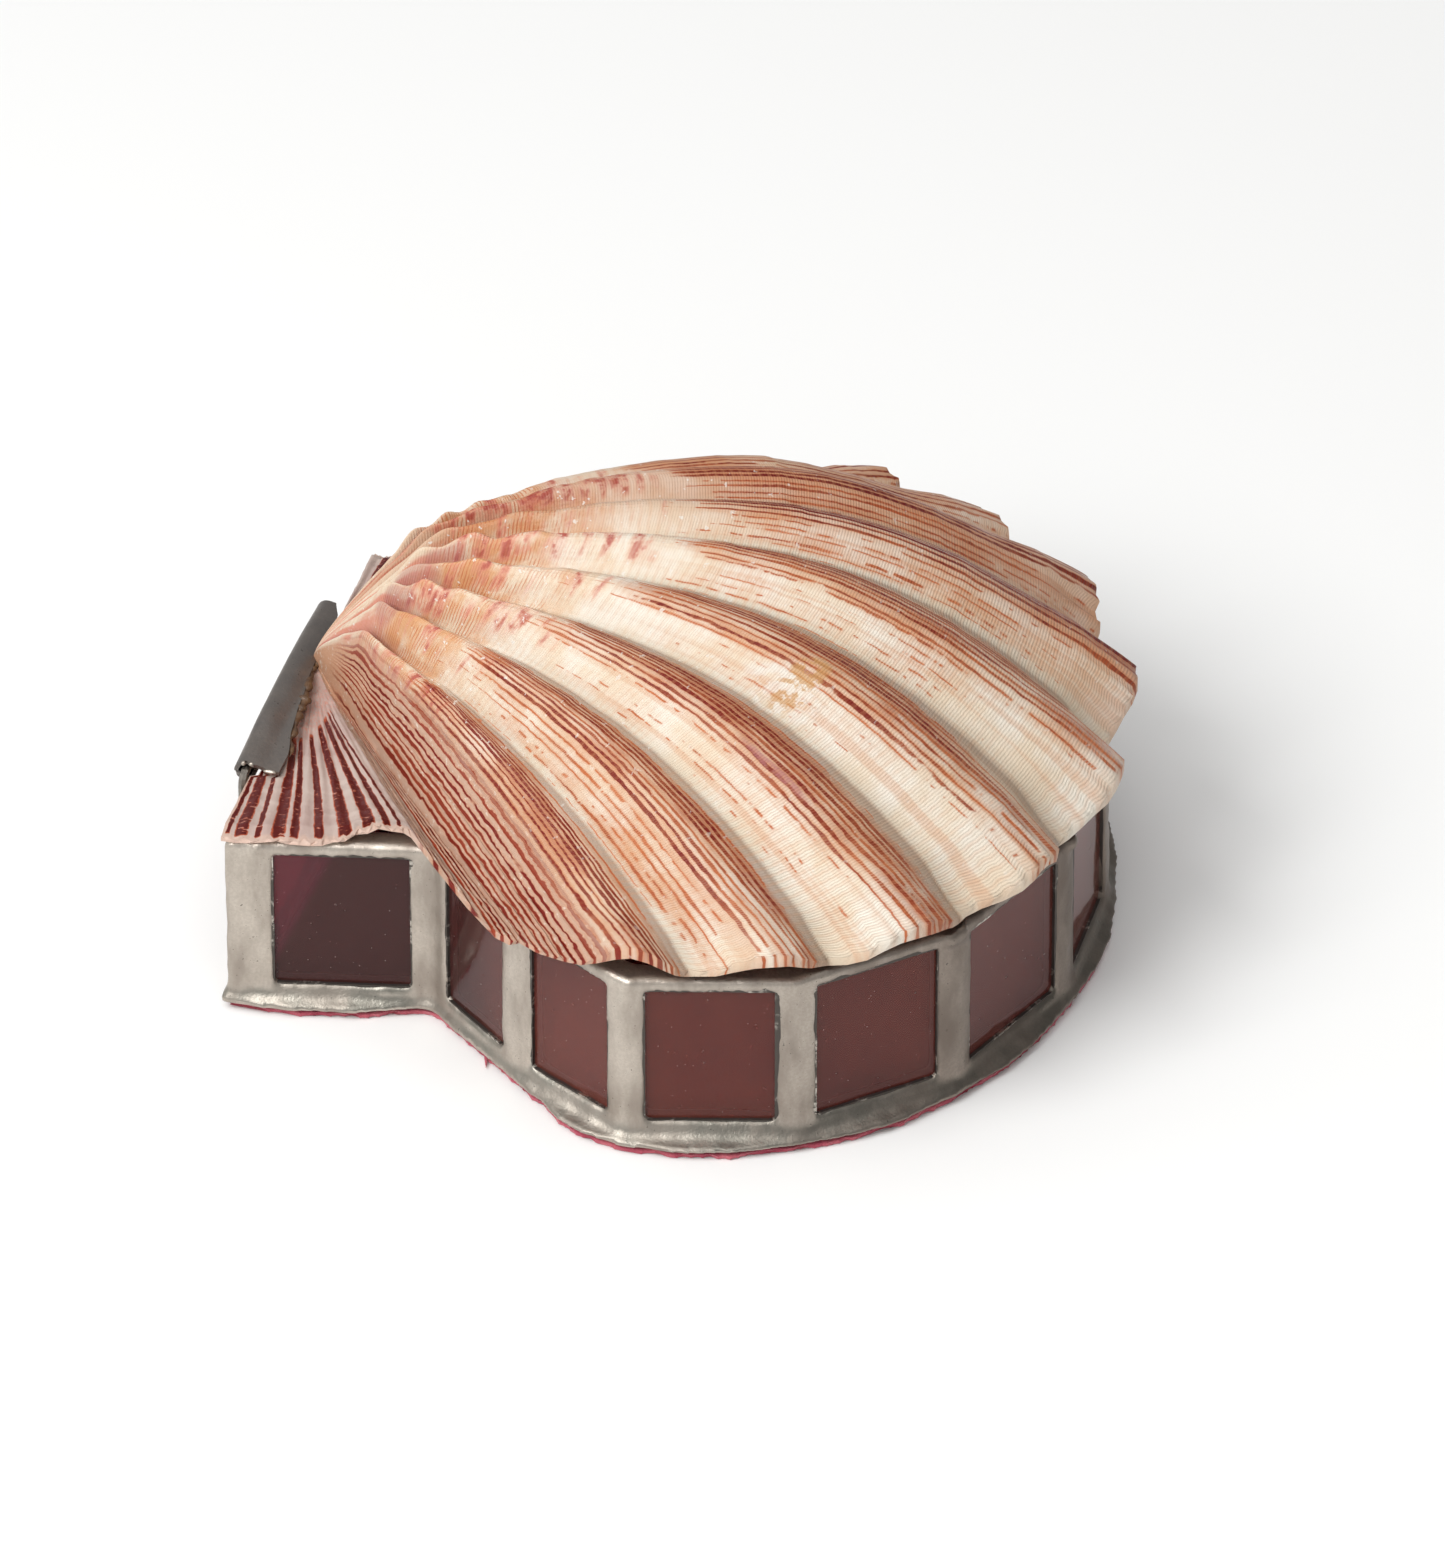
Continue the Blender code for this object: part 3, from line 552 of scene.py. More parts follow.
def makeSheet(name, angles, shares, wanted):
    # a grid bent into one face of the valve. One UV map holds rib number and t, and the other holds tens
    # of degrees and centimetres from the umbo
    angle, t = np.meshgrid(angles, shares)
    top, underside = valveHeights(angle, t)
    added, lift = valveRelief(angle, t)
    level = top + added + lift if wanted == "top" else underside + lift
    reach = marginReach(angle) * t - marginWear(angle) * smoothStep(relief["chipStart"], 1.0, t)
    turn = np.radians(angle)
    back = smoothStep(*relief["earBackAngles"], angle) * smoothStep(*relief["earBackFrom"], t)
    y = umbo.y - reach * np.cos(turn) + relief["earBack"] * back
    points = np.stack([umbo.x + reach * np.sin(turn), y, level], axis=-1)
    sheet = addGrid(np.clip(points * mm, *cadBounds))
    sheet.name = name
    corner = np.empty(len(sheet.data.loops), dtype=np.int64)
    sheet.data.loops.foreach_get("vertex_index", corner)
    sheet.data.uv_layers[0].name = "growth"
    sheet.data.uv_layers.new(name="direction")
    for layer, across, along in (("growth", ribNumber(angle), t), ("direction", angle / 10, reach / 10)):
        pairs = np.stack([across.ravel()[corner], along.ravel()[corner]], axis=-1)
        sheet.data.uv_layers[layer].uv.foreach_set("vector", pairs.astype(np.float32).ravel())
    return sheet


def sheetEdge(first, columns, rows):
    # vertex numbers round the open edge: out along the near ear, along the margin, back along the far ear
    line = columns + 1
    places = [(row / rows, first + row * line) for row in range(rows)]
    places += [(1 + column / columns, first + rows * line + column) for column in range(columns)]
    places += [(3 - row / rows, first + row * line + columns) for row in range(rows, -1, -1)]
    return places


def closeEdge(bm, upper, lower):
    # joins two edges of unlike spacing with triangles
    bm.verts.ensure_lookup_table()
    i, j = 0, 0
    while i < len(upper) - 1 or j < len(lower) - 1:
        nextUpper = upper[i + 1][0] if i < len(upper) - 1 else math.inf
        nextLower = lower[j + 1][0] if j < len(lower) - 1 else math.inf
        if nextUpper <= nextLower:
            bm.faces.new([bm.verts[v] for v in (upper[i][1], upper[i + 1][1], lower[j][1])])
            i += 1
        else:
            bm.faces.new([bm.verts[v] for v in (upper[i][1], lower[j + 1][1], lower[j][1])])
            j += 1


def spreadAngles(count):
    # directions of the columns, with fewer on the ears than on the disc
    ear = round(count * valve["earColumnShare"])
    start, near, far, end = valve["columnEdges"]
    return np.concatenate([np.linspace(start, near, ear, endpoint=False),
                           np.linspace(near, far, count - 2 * ear, endpoint=False),
                           np.linspace(far, end, ear + 1)])


def makeValve(outside, hollow):
    topAngles, insideAngles = spreadAngles(valve["columns"]), spreadAngles(valve["insideColumns"])
    topShares = np.linspace(0, 1, valve["rows"] + 1) ** valve["rowPower"]
    insideShares = np.linspace(0, 1, valve["insideRows"] + 1)
    top = makeSheet("scallopValve", topAngles, topShares, "top")
    inside = makeSheet("valveInside", insideAngles, insideShares, "inside")
    first = len(top.data.vertices)
    top.data.materials.append(outside)
    inside.data.materials.append(hollow)
    joinParts(top, [top, inside])
    bm = bmesh.new()
    bm.from_mesh(top.data)
    closeEdge(bm, sheetEdge(0, valve["columns"], valve["rows"]),
              sheetEdge(first, valve["insideColumns"], valve["insideRows"]))
    growth, direction = (bm.loops.layers.uv[name] for name in ("growth", "direction"))
    for face in bm.faces:
        if all(loop[growth].uv.length == 0 for loop in face.loops):
            for loop in face.loops:
                offset = loop.vert.co.xy / mm - umbo
                turn = math.degrees(math.atan2(offset.x, max(-offset.y, 0.0)))
                loop[growth].uv = (float(ribNumber(turn)), 1.0)
                loop[direction].uv = (turn / 10, offset.length / 10)
    bmesh.ops.remove_doubles(bm, verts=bm.verts, dist=valve["mergeGap"] * mm)
    bmesh.ops.recalc_face_normals(bm, faces=bm.faces)
    bm.to_mesh(top.data)
    bm.free()
    smoothShade(top, 60)
    settle(top, "lid", "shell", None, "shell_lid")


# Colours of the valve, as red, green and blue from 0 to 1, and the places of its marks
valvePaint = {
    "cream": (0.69, 0.57, 0.43, 1), "white": (0.74, 0.675, 0.58, 1), "tint": (0.54, 0.245, 0.112, 1),
    # the first two colours on the next line are painted shade: the first for the furrows, where it is partly
    # the shell's own grey-beige, the second for the far flanks
    "furrow": (0.52, 0.455, 0.35, 1), "shade": (0.27, 0.165, 0.115, 1), "dense": (0.34, 0.090, 0.045, 1),
    "line": (0.170, 0.008, 0.003, 1), "faintLine": (0.48, 0.135, 0.045, 1), "halo": (0.52, 0.18, 0.070, 1),
    "blotch": (0.36, 0.050, 0.040, 1), "pink": (0.62, 0.240, 0.170, 1), "mauve": (0.40, 0.150, 0.140, 1),
    "orange": (0.60, 0.310, 0.150, 1), "shoulder": (0.51, 0.325, 0.235, 1), "ear": (0.55, 0.44, 0.385, 1),
    "earShade": (0.46, 0.32, 0.285, 1), "earStripe": (0.10, 0.006, 0.004, 1),
    "fringe": (0.40, 0.075, 0.028, 1), "farShade": (0.76, 0.58, 0.50, 1),
    "edge": (0.62, 0.44, 0.355, 1), "chalk": (0.72, 0.68, 0.62, 1), "stain": (0.50, 0.27, 0.10, 1),
    "linesPerRib": 15.0, "shoulderLines": 13.0, "beadsAlong": 290.0, "ringsAlong": 190.0,
    "shadesAlong": 85.0, "wiggle": 0.006,
    # stripes of the ears: direction and half width, in degrees
    "stripes": ((-89.0, 0.35), (-86.6, 0.95), (-83.6, 0.40), (-79.9, 1.05), (-76.6, 0.75), (-71.3, 0.85),
                (-65.7, 1.15), (-60.6, 1.05), (-57.0, 0.65), (-54.6, 0.35),
                (62.0, 0.5), (66.5, 1.0), (72.5, 1.3), (79.0, 0.8), (85.0, 1.1)),
    # patches: rib number, t, half width in ribs, half length in t
    "mauvePatches": ((-3.0, 0.165, 0.30, 0.022), (-2.3, 0.155, 0.28, 0.024), (-1.25, 0.15, 0.30, 0.035),
                     (-0.35, 0.17, 0.30, 0.030)),
    "scar": (-2.02, 0.765, 0.04, 0.055), "chalkPatch": (-1.30, 0.69, 0.20, 0.050),
    "stainPatch": (-1.18, 0.692, 0.26, 0.020),
    # the hollow side
    "porcelain": (0.82, 0.78, 0.72, 1), "warmWhite": (0.82, 0.70, 0.62, 1), "rosyRay": (0.60, 0.33, 0.28, 1),
}


def lineField(number, perRib, width, seed):
    # radial lines: their mask, a soft one round them, each line's own number and two random numbers for it
    place = product(number, perRib)
    line = calc("FLOOR", place)
    random = addNode("ShaderNodeTexWhiteNoise", {"W": plus(line, seed)}, noise_dimensions="1D")
    pick = addNode("ShaderNodeSeparateColor", {"Color": random.outputs["Color"]}).outputs
    middle = scaleAdd(pick[2], 0.4, 0.30)
    away = calc("ABSOLUTE", minus(calc("FRACT", place), middle))
    half = product(scaleAdd(pick[1], 0.35, 0.30), width)
    mask = fade(away, half, plus(half, 0.08), 1.0, 0.0)
    halo = fade(away, half, plus(half, 0.30), 1.0, 0.0)
    return mask, halo, line, pick[0], pick[1]


def ovalPatch(number, t, spot, ragged):
    # 1 inside an oval at a rib number and t, fading out past its edge
    rib, place, halfWidth, halfLength = spot
    across = calc("DIVIDE", minus(number, rib), halfWidth)
    along = calc("DIVIDE", minus(t, place), halfLength)
    spread = scaleAdd(across, across, product(along, along))
    return fade(plus(spread, ragged), 0.5, 1.4, 1.0, 0.0)


def scaledNoise(number, perRib, t, along, detail=2.0, rough=0.55):
    # noise stretched over the valve's own directions
    return noiseOf(joinVector(product(number, perRib), product(t, along)), 1.0, detail, rough)


def paintEars(tens, t, patches):
    paint = valvePaint
    warp = minus(scaledNoise(tens, 9.0, t, 24.0, 3.0, 0.6), 0.5)
    bend = calc("POWER", larger(minus(0.8, t), 0.0), 2.0)
    turned = scaleAdd(bend, 1.5, scaleAdd(warp, 0.10, tens))
    stripes = None
    for direction, half in paint["stripes"]:
        away = calc("ABSOLUTE", minus(turned, direction / 10))
        stripe = fade(away, half * 0.075, half * 0.16, 1.0, 0.0)
        stripes = larger(stripes, stripe) if stripes else stripe
    cracks = scaledNoise(tens, 4.0, t, 90.0, 3.0, 0.65)
    begun = minus(scaleAdd(patches, 0.12, t), fade(tens, -5.6, -8.0, 0.25, 0.43))
    stripes = product(stripes, fade(cracks, 0.34, 0.42, 0.30, 1.0), fade(begun, 0.02, 0.10),
                      fade(t, 0.975, 0.99, 1.0, 0.0))
    mottle = product(fade(scaledNoise(tens, 12.0, t, 60.0, 3.0, 0.7), 0.45, 0.6),
                     fade(begun, 0.0, 0.10, 0.7, 0.0))
    brim = larger(fade(t, 0.97, 0.99), fade(tens, -8.86, -8.97))
    return layered(paint["ear"], (fade(patches, 0.35, 0.7), paint["earShade"]), (mottle, paint["pink"]),
                   (product(brim, 0.85), paint["edge"]), (fade(stripes, 0.1, 0.45), paint["fringe"]),
                   (fade(stripes, 0.5, 0.85), paint["earStripe"]))


def paintShoulder(number, t, specks):
    paint = valvePaint
    warp = minus(scaledNoise(number, 5.0, t, 34.0, 3.0, 0.6), 0.5)
    number = scaleAdd(warp, 0.05, number)
    width = fade(scaledNoise(number, 5.0, t, 9.0, 3.0, 0.6), 0.36, 0.64, 0.12, 0.40)
    mask, halo, line, pick, other = lineField(number, paint["shoulderLines"], width, 20.0)
    breaks = scaledNoise(line, 3.7, t, 18.0)
    started = fade(t, 0.06, 0.16)
    lines = product(mask, started, fade(scaleAdd(pick, 0.3, breaks), 0.36, 0.5, 0.15, 1.0))
    lineColour = blendColour(fade(other, 0.4, 0.9, 0.0, 0.5), paint["line"], paint["fringe"])
    return layered(paint["shoulder"], (fade(t, 0.06, 0.34, 0.5, 0.0), paint["tint"]),
                   (product(specks, 0.6), paint["white"]), (product(halo, started, 0.45), paint["halo"]),
                   (lines, lineColour))


def paintInner(number, t, across, rib, patches):
    # the oldest part of the valve: orange and pink, with fine rings and red blotches along the crests
    paint = valvePaint
    ragged = minus(patches, 0.5)
    offCrest = calc("ABSOLUTE", across)
    clouds = scaledNoise(number, 1.4, t, 16.0, 4.0, 0.6)
    streaks = minus(scaledNoise(number, 2.6, t, 7.0, 3.0, 0.6), fade(offCrest, 0.10, 0.36, 0.10, -0.10))
    beak = blendColour(fade(streaks, 0.40, 0.58), paint["cream"], paint["pink"])
    ringWave = scaleAdd(t, paint["ringsAlong"] * 2 * math.pi,
                        product(scaledNoise(number, 2.0, t, 12.0), 16.0))
    rings = product(fade(calc("SINE", ringWave), 0.1, 0.9),
                    fade(scaledNoise(number, 5.0, t, 30.0), 0.42, 0.56), fade(t, 0.13, 0.18),
                    fade(t, 0.34, 0.40, 0.75, 0.0))
    even = scaleAdd(calc("COSINE", product(rib, math.pi)), 0.06, 0.02)
    bars = plus(scaledNoise(number, 1.2, t, 50.0, 2.0, 0.5), even)
    crest = product(fade(across, -0.42, -0.25), fade(across, 0.16, 0.30, 1.0, 0.0))
    torn = fade(scaledNoise(number, 5.0, t, 55.0, 3.0, 0.6), 0.40, 0.60, 0.40, 1.0)
    blotches = product(crest, torn, fade(bars, 0.43, 0.70), fade(t, 0.13, 0.18),
                       fade(t, 0.40, 0.47, 1.0, 0.0))
    valley = product(fade(offCrest, 0.28, 0.48), fade(t, 0.16, 0.26, 0.65, 0.0))
    ground = layered(paint["cream"], (fade(clouds, 0.38, 0.6), paint["orange"]),
                     (fade(t, 0.13, 0.20, 0.9, 0.0), beak), (rings, paint["faintLine"]),
                     (valley, paint["mauve"]), (fade(blotches, 0.0, 0.6, 0.0, 0.75), paint["pink"]),
                     (fade(blotches, 0.40, 1.0, 0.0, 0.80), paint["blotch"]))
    for spot in paint["mauvePatches"]:
        ground = layered(ground, (product(ovalPatch(number, t, spot, ragged), 0.5), paint["mauve"]))
    return ground, blotches


def makeValveMaterial():
    paint = valvePaint
    material, shader = newMaterial("scallopShell", Specular_IOR_Level=0.27)
    growth = uvParts("growth")
    number, t = growth["X"], growth["Y"]
    tens = uvParts("direction")["X"]
    place = objectPlace()
    patches = noiseOf(place, 110.0, 4.0, 0.6)
    specks = fade(noiseOf(place, 1100.0, 3.0, 0.7), 0.58, 0.68)
    ragged = minus(patches, 0.5)

    # lines step sideways a little where growth paused
    kinks = minus(scaledNoise(number, 0.8, t, 11.0), 0.5)
    jags = minus(scaledNoise(number, 8.0, t, 90.0, 2.0, 0.6), 0.5)
    shifted = scaleAdd(kinks, paint["wiggle"] * 2, number)
    shifted = scaleAdd(jags, paint["wiggle"] * 3, shifted)
    raised = plus(shifted, 0.5)
    across = minus(calc("FRACT", raised), 0.5)
    rib = calc("FLOOR", raised)
    nearSide = fade(number, -2.6, -4.0)

    # how strongly each place is lined: most on the crest and far flank, a little on the near flank
    start = fade(number, -4.0, 0.0, 0.26, 0.39)
    begun = fade(t, start, plus(start, 0.14))
    band = product(fade(across, -0.34, -0.06), fade(across, 0.30, 0.45, 1.0, 0.0), begun)
    flank = product(fade(across, -0.50, -0.44), fade(across, 0.2, 0.4, 1.0, 0.3),
                    fade(t, 0.36, 0.56, 0.0, 0.46))
    slow = scaledNoise(number, 2.5, t, 5.0, 3.0, 0.6)
    strength = larger(band, flank)
    sides = larger(nearSide, fade(number, 0.3, 1.8, 0.0, 1.0))
    strength = scaleAdd(product(sides, begun), 0.40, strength)
    strength = scaleAdd(minus(slow, 0.5), 1.2, strength)
    strength = minus(strength, fade(t, 0.76, 0.98, 0.0, 0.30))

    # the lines, with beads along them and breaks in them
    width = fade(strength, 0.3, 1.0, 0.08, 0.34)
    uneven = fade(scaledNoise(shifted, 15.0, t, 16.0, 3.0, 0.6), 0.32, 0.68, 0.45, 1.55)
    width = product(width, uneven)
    mask, halo, line, pick, other = lineField(shifted, paint["linesPerRib"], width, 0.0)
    breaks = scaledNoise(line, 3.7, t, 15.0, 4.0, 0.6)
    dashes = minus(scaledNoise(line, 5.3, t, 34.0, 3.0, 0.65), 0.5)
    shown = scaleAdd(breaks, 0.6, product(pick, 0.25))
    shown = scaleAdd(dashes, fade(strength, 0.5, 1.0, 0.95, 0.25), shown)
    shown = fade(scaleAdd(strength, 0.62, shown), 0.70, 0.78)
    beadWave = calc("SINE", scaleAdd(t, paint["beadsAlong"] * 2 * math.pi, product(line, 2.1)))
    beadShare = product(fade(scaledNoise(line, 1.0, t, 9.0), 0.4, 0.6), fade(strength, 0.5, 1.1, 0.9, 0.35))
    beads = minus(1.0, product(beadShare, scaleAdd(beadWave, -0.35, 0.35)))
    lines = product(mask, shown, beads)
    depth = scaleAdd(other, 0.35, strength)
    depth = scaleAdd(minus(breaks, 0.5), 1.4, depth)
    lineColour = blendColour(fade(depth, 0.55, 1.45), paint["faintLine"], paint["line"])

    # ground colour
    ghost = fade(scaledNoise(shifted, 14.0, t, 1.5), 0.48, 0.66, 0.0, 0.38)
    tint = product(fade(strength, 0.25, 0.95), fade(slow, 0.3, 0.65, 0.25, 0.80),
                   fade(t, 0.78, 0.98, 1.0, 0.6))
    dense = product(band, fade(across, -0.14, 0.06), fade(slow, 0.43, 0.60, 0.05, 0.65))
    # painted shade in the furrows, partly the shell's own grey-beige there
    valley = product(fade(calc("ABSOLUTE", across), 0.38, 0.5, 0.0, 0.50), fade(t, 0.3, 0.5))
    # painted shadow on the far flank, past the lines, where the rib turns away from the lamps
    farFlankShade = product(fade(across, 0.26, 0.44), fade(across, 0.46, 0.5, 0.65, 0.15), begun)
    inner, blotches = paintInner(number, t, across, rib, patches)
    innerShare = larger(fade(scaleAdd(ragged, 0.22, t), 0.27, 0.41, 1.0, 0.0), blotches)
    streaks = scaledNoise(number, 9.0, t, 42.0, 3.0, 0.65)
    chalk = product(fade(streaks, 0.62, 0.42),
                    ovalPatch(number, t, paint["chalkPatch"], product(ragged, 6.0)))
    stain = product(fade(streaks, 0.46, 0.54),
                    ovalPatch(number, t, paint["stainPatch"], product(ragged, 3.0)))
    scar = product(fade(streaks, 0.35, 0.5), ovalPatch(shifted, t, paint["scar"], product(ragged, 1.5)))
    glow = product(halo, shown, fade(strength, 0.3, 0.9, 0.15, 0.6))
    colour = layered(paint["cream"], (fade(patches, 0.35, 0.65), paint["white"]),
                     (product(ghost, fade(t, 0.4, 0.6)), paint["tint"]), (tint, paint["tint"]),
                     (dense, paint["dense"]), (valley, paint["furrow"]), (farFlankShade, paint["shade"]),
                     (innerShare, inner), (product(chalk, 0.6), paint["chalk"]), (glow, paint["halo"]),
                     (product(lines, minus(1.0, product(chalk, 0.7))), lineColour),
                     (product(stain, 0.7), paint["stain"]), (product(scar, 0.7), paint["mauve"]))
    # painted shade: the far ribs face away from the lamps and are darkened and browned
    farShade = product(fade(number, 0.2, 1.4, 0.0, 0.9), fade(number, 1.8, 3.2, 1.0, 0.35))
    colour = layered(colour, (farShade, blendColour(1.0, colour, paint["farShade"], "MULTIPLY")))

    # faint bands of shade run across the ribs, finer than the growth steps
    wave = calc("SINE", scaleAdd(scaledNoise(number, 1.3, t, 8.0), 14.0,
                                 product(t, paint["shadesAlong"] * 2 * math.pi)))
    shades = product(fade(wave, -0.2, 1.0), fade(slow, 0.35, 0.6, 0.04, 0.20))

    # painted glints: chalk-white specks stand in for sparkles of light, most round the umbo
    glints = product(fade(noiseOf(place, 900.0, 2.0, 0.6), 0.67, 0.72), fade(t, 0.25, 0.9, 0.8, 0.25))

    # the near shoulder and both ears have their own lines
    ear = larger(fade(number, -5.38, -5.48), fade(number, 5.2, 5.35))
    colour = layered(colour, (shades, paint["tint"]), (glints, paint["chalk"]),
                     (fade(number, -4.0, -4.3), paintShoulder(shifted, t, specks)),
                     (ear, paintEars(tens, t, patches)))

    # very fine rings and riblets under the gloss
    fineRings = calc("SINE", product(t, paint["beadsAlong"] * 2 * math.pi))
    height = scaleAdd(fineRings, 0.35, product(noiseOf(place, 2500.0, 3.0, 0.6), 1.2))
    gloss = fade(noiseOf(place, 260.0, 4.0, 0.65), 0.3, 0.7, 0.28, 0.48)
    finishShader(shader, colour, gloss, (height, 0.6, 0.00012))
    return material


def makeInsideMaterial():
    # the hollow side: porcelain white, with rosy rays that grow stronger towards the margin
    material, shader = newMaterial("scallopInside", Specular_IOR_Level=0.55)
    growth = uvParts("growth")
    t = growth["Y"]
    patches = noiseOf(objectPlace(), 70.0, 3.0, 0.55)
    rays = fade(scaledNoise(growth["X"], 3.0, t, 2.0, 3.0, 0.55), 0.42, 0.62)
    colour = layered(valvePaint["porcelain"], (fade(patches, 0.3, 0.7), valvePaint["warmWhite"]),
                     (product(rays, fade(t, 0.45, 0.95, 0.05, 0.7)), valvePaint["rosyRay"]))
    finishShader(shader, colour, fade(patches, 0.3, 0.7, 0.22, 0.34))
    return material


makeValve(makeValveMaterial(), makeInsideMaterial())
print("valve done")


# Solder lattice: the CAD form, made one soft run of metal with beads at the rim's corners

solder = {
    "voxel": 0.5, "smoothing": 5,
    # unevenness of the metal: size and height of the lumps, and seed
    "lumps": ((5.0, 0.13, 30), (2.2, 0.10, 40), (1.3, 0.05, 50)),
    "blobRadius": 1.35, "blobBelowRim": 1.0, "boxMiddle": (0.0, -8.0),
    # the foil round each window: width that shows, width in all, and depths from the middle of the glass
    "foilShows": 0.10, "foilWidth": 0.8, "foilFrom": 1.51, "foilTo": 1.98,
    "foilCuts": 25, "foilLongEdge": 5.0, "foilLump": 0.9, "foilSeeds": (22, 25, 28), "foilRagged": 0.04,
    # painted shade towards the front of the box: its direction and its range, in metres
    "sideShadeDirection": (0.28, -0.96, 0.0), "sideShadeFrom": (-0.015, 0.048),
    # painted dark reflection in the fillet below the windows: its colour and the heights, in metres, where
    # it fades out
    "filletShade": (0.17, 0.17, 0.145, 1), "filletShadeFrom": (0.0046, 0.0054),
    "glassCover": 1.0, "slotGap": 0.35, "topCover": 1.4, "bottomCover": 0.4,
    "cornerPast": 1.0, "blobUneven": 0.2,
    "bright": (0.60, 0.54, 0.47, 1), "dull": (0.37, 0.320, 0.275, 1), "sideShade": (0.46, 0.43, 0.42, 1),
    # the second colour on the next line is painted shade and dark reflection for the foil's edge
    "speck": (0.05, 0.045, 0.04, 1), "edgeShade": (0.11, 0.098, 0.088, 1), "thin": (0.55, 0.51, 0.45, 1),
}
paneNames = [name for name in frame["nodes"] if name.startswith("pane_")]


def makeMetalMaterial(name, base, dark, rough, grainScale, sideShade=None):
    # the last argument is painted shade: a tint multiplied over the metal towards the front of the box, the
    # side away from the lamps
    material, shader = newMaterial(name, Metallic=1.0)
    marks = useGroup(unevenness, patchScale=grainScale, speckScale=grainScale * 14, speckLevel=0.66,
                     upright=0.35 if sideShade else 1.0)
    colour = layered(base, (marks["patches"], dark), (fade(marks["grain"], 0.38, 0.62, 0.3, 0.0), dark))
    if sideShade:
        # painted dark reflection: upward faces low in the fillet below the windows are darkened
        facing = splitVector(addNode("ShaderNodeTexCoord").outputs["Normal"])["Z"]
        height = splitVector(objectPlace())["Z"]
        filletShade = product(fade(facing, 0.15, 0.5), fade(height, *solder["filletShadeFrom"], 1.0, 0.0),
                        fade(marks["patches"], 0.0, 0.8, 0.75, 0.35))
        colour = layered(colour, (filletShade, solder["filletShade"]))
        # painted shade towards the front of the box, away from the lamps
        front = fade(dotWith(objectPlace(), solder["sideShadeDirection"]), *solder["sideShadeFrom"])
        colour = layered(colour, (front, blendColour(1.0, colour, sideShade, "MULTIPLY")))
    colour = layered(colour, (product(marks["specks"], 0.7), solder["speck"]))
    finishShader(shader, colour, scaleAdd(marks["patches"], 0.16, rough), (marks["grain"], 0.5, 0.00012))
    return material


def paneMeasure(name):
    # middle, direction along the wall, half length, half thickness, bottom and top of one pane
    points = getPoints(frame["nodes"][name].data) / mm
    low, high = points[:, 2].min(), points[:, 2].max()
    middle = points[:, :2].mean(axis=0)
    flat = points[:, :2] - middle
    along = np.linalg.svd(flat, full_matrices=False)[2][0]
    outward = np.array([-along[1], along[0]])
    return middle, along, np.abs(flat @ along).max(), np.abs(flat @ outward).max(), low, high


def addBar(bars, middle, along, size):
    bpy.ops.mesh.primitive_cube_add(size=1, location=[float(value) * mm for value in middle],
                                    rotation=(0, 0, math.atan2(along[1], along[0])))
    bar = bpy.context.object
    bar.scale = [value * mm for value in size]
    bars.append(bar)


def fillSlots():
    # metal runs right round the edge of each pane, where the CAD solid keeps a gap
    bars = []
    cover, gap, inside = solder["glassCover"], solder["slotGap"], 2 * solder["slotGap"]
    for name in paneNames:
        middle, along, half, thick, low, high = paneMeasure(name)
        depth = 2 * thick + inside
        for side in (-1, 1):
            place = middle + along * side * (half - cover / 2 + gap / 2)
            addBar(bars, (*place, (low + high) / 2), along, (cover + gap, depth, high - low + inside))
        windowTop, windowLow = high - solder["topCover"], low + solder["bottomCover"]
        for bottom, top in ((windowTop, high + gap), (low - gap, windowLow)):
            addBar(bars, (*middle, (bottom + top) / 2), along, (2 * half + inside, depth, top - bottom))
    return bars


def outwardOf(middle, along):
    outward = np.array([-along[1], along[0]])
    return outward if outward @ (middle - np.array(solder["boxMiddle"])) > 0 else -outward


def addBlobs():
    # a drop of solder stands on the rim where two walls meet
    blobs = []
    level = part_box("solder_frame")[1].z / mm - solder["blobBelowRim"]
    for name in paneNames:
        middle, along, half, thick, low, high = paneMeasure(name)
        place = middle + along * (half + solder["cornerPast"]) + outwardOf(middle, along) * thick
        uneven = solder["blobUneven"] * float(softNoise(place[:1], place[1:], 20)[0])
        bpy.ops.mesh.primitive_ico_sphere_add(
            subdivisions=3, radius=solder["blobRadius"] * (1 + uneven) * mm,
            location=[float(value) * mm for value in (*place, level)])
        blobs.append(bpy.context.object)
    return blobs


def makeFoil(material):
    # the raw edge of the foil and solder stands round each window, on the outside; its near black is painted
    # shade and dark reflection along the window's edge
    bars = []
    shows, width = solder["foilShows"], solder["foilWidth"]
    depth = solder["foilTo"] - solder["foilFrom"]
    for name in paneNames:
        middle, along, half, thick, low, high = paneMeasure(name)
        face = middle + outwardOf(middle, along) * (solder["foilFrom"] + solder["foilTo"]) / 2
        side = half - solder["glassCover"] - shows
        top, bottom = high - solder["topCover"] - shows, low + solder["bottomCover"] + shows
        for end in (-1, 1):
            addBar(bars, (*(face + along * end * (side + width / 2)), (top + bottom) / 2), along,
                   (width, depth, top - bottom + 2 * shows))
        for rise in (top + width / 2, bottom - width / 2):
            addBar(bars, (*face, rise), along, (2 * side, depth, width))
    foil = bars[0]
    joinParts(foil, bars)
    bpy.ops.object.transform_apply(location=True, rotation=True, scale=True)
    bm = bmesh.new()
    bm.from_mesh(foil.data)
    longEdges = [edge for edge in bm.edges if edge.calc_length() > solder["foilLongEdge"] * mm]
    bmesh.ops.subdivide_edges(bm, edges=longEdges, cuts=solder["foilCuts"], use_grid_fill=True)
    bm.to_mesh(foil.data)
    bm.free()
    points = getPoints(foil.data)
    push = np.stack([spaceNoise(points / mm, solder["foilLump"], seed) for seed in solder["foilSeeds"]],
                    axis=1)
    setPoints(foil.data, points + push * solder["foilRagged"] * mm)
    foil.data.materials.append(material)
    return foil


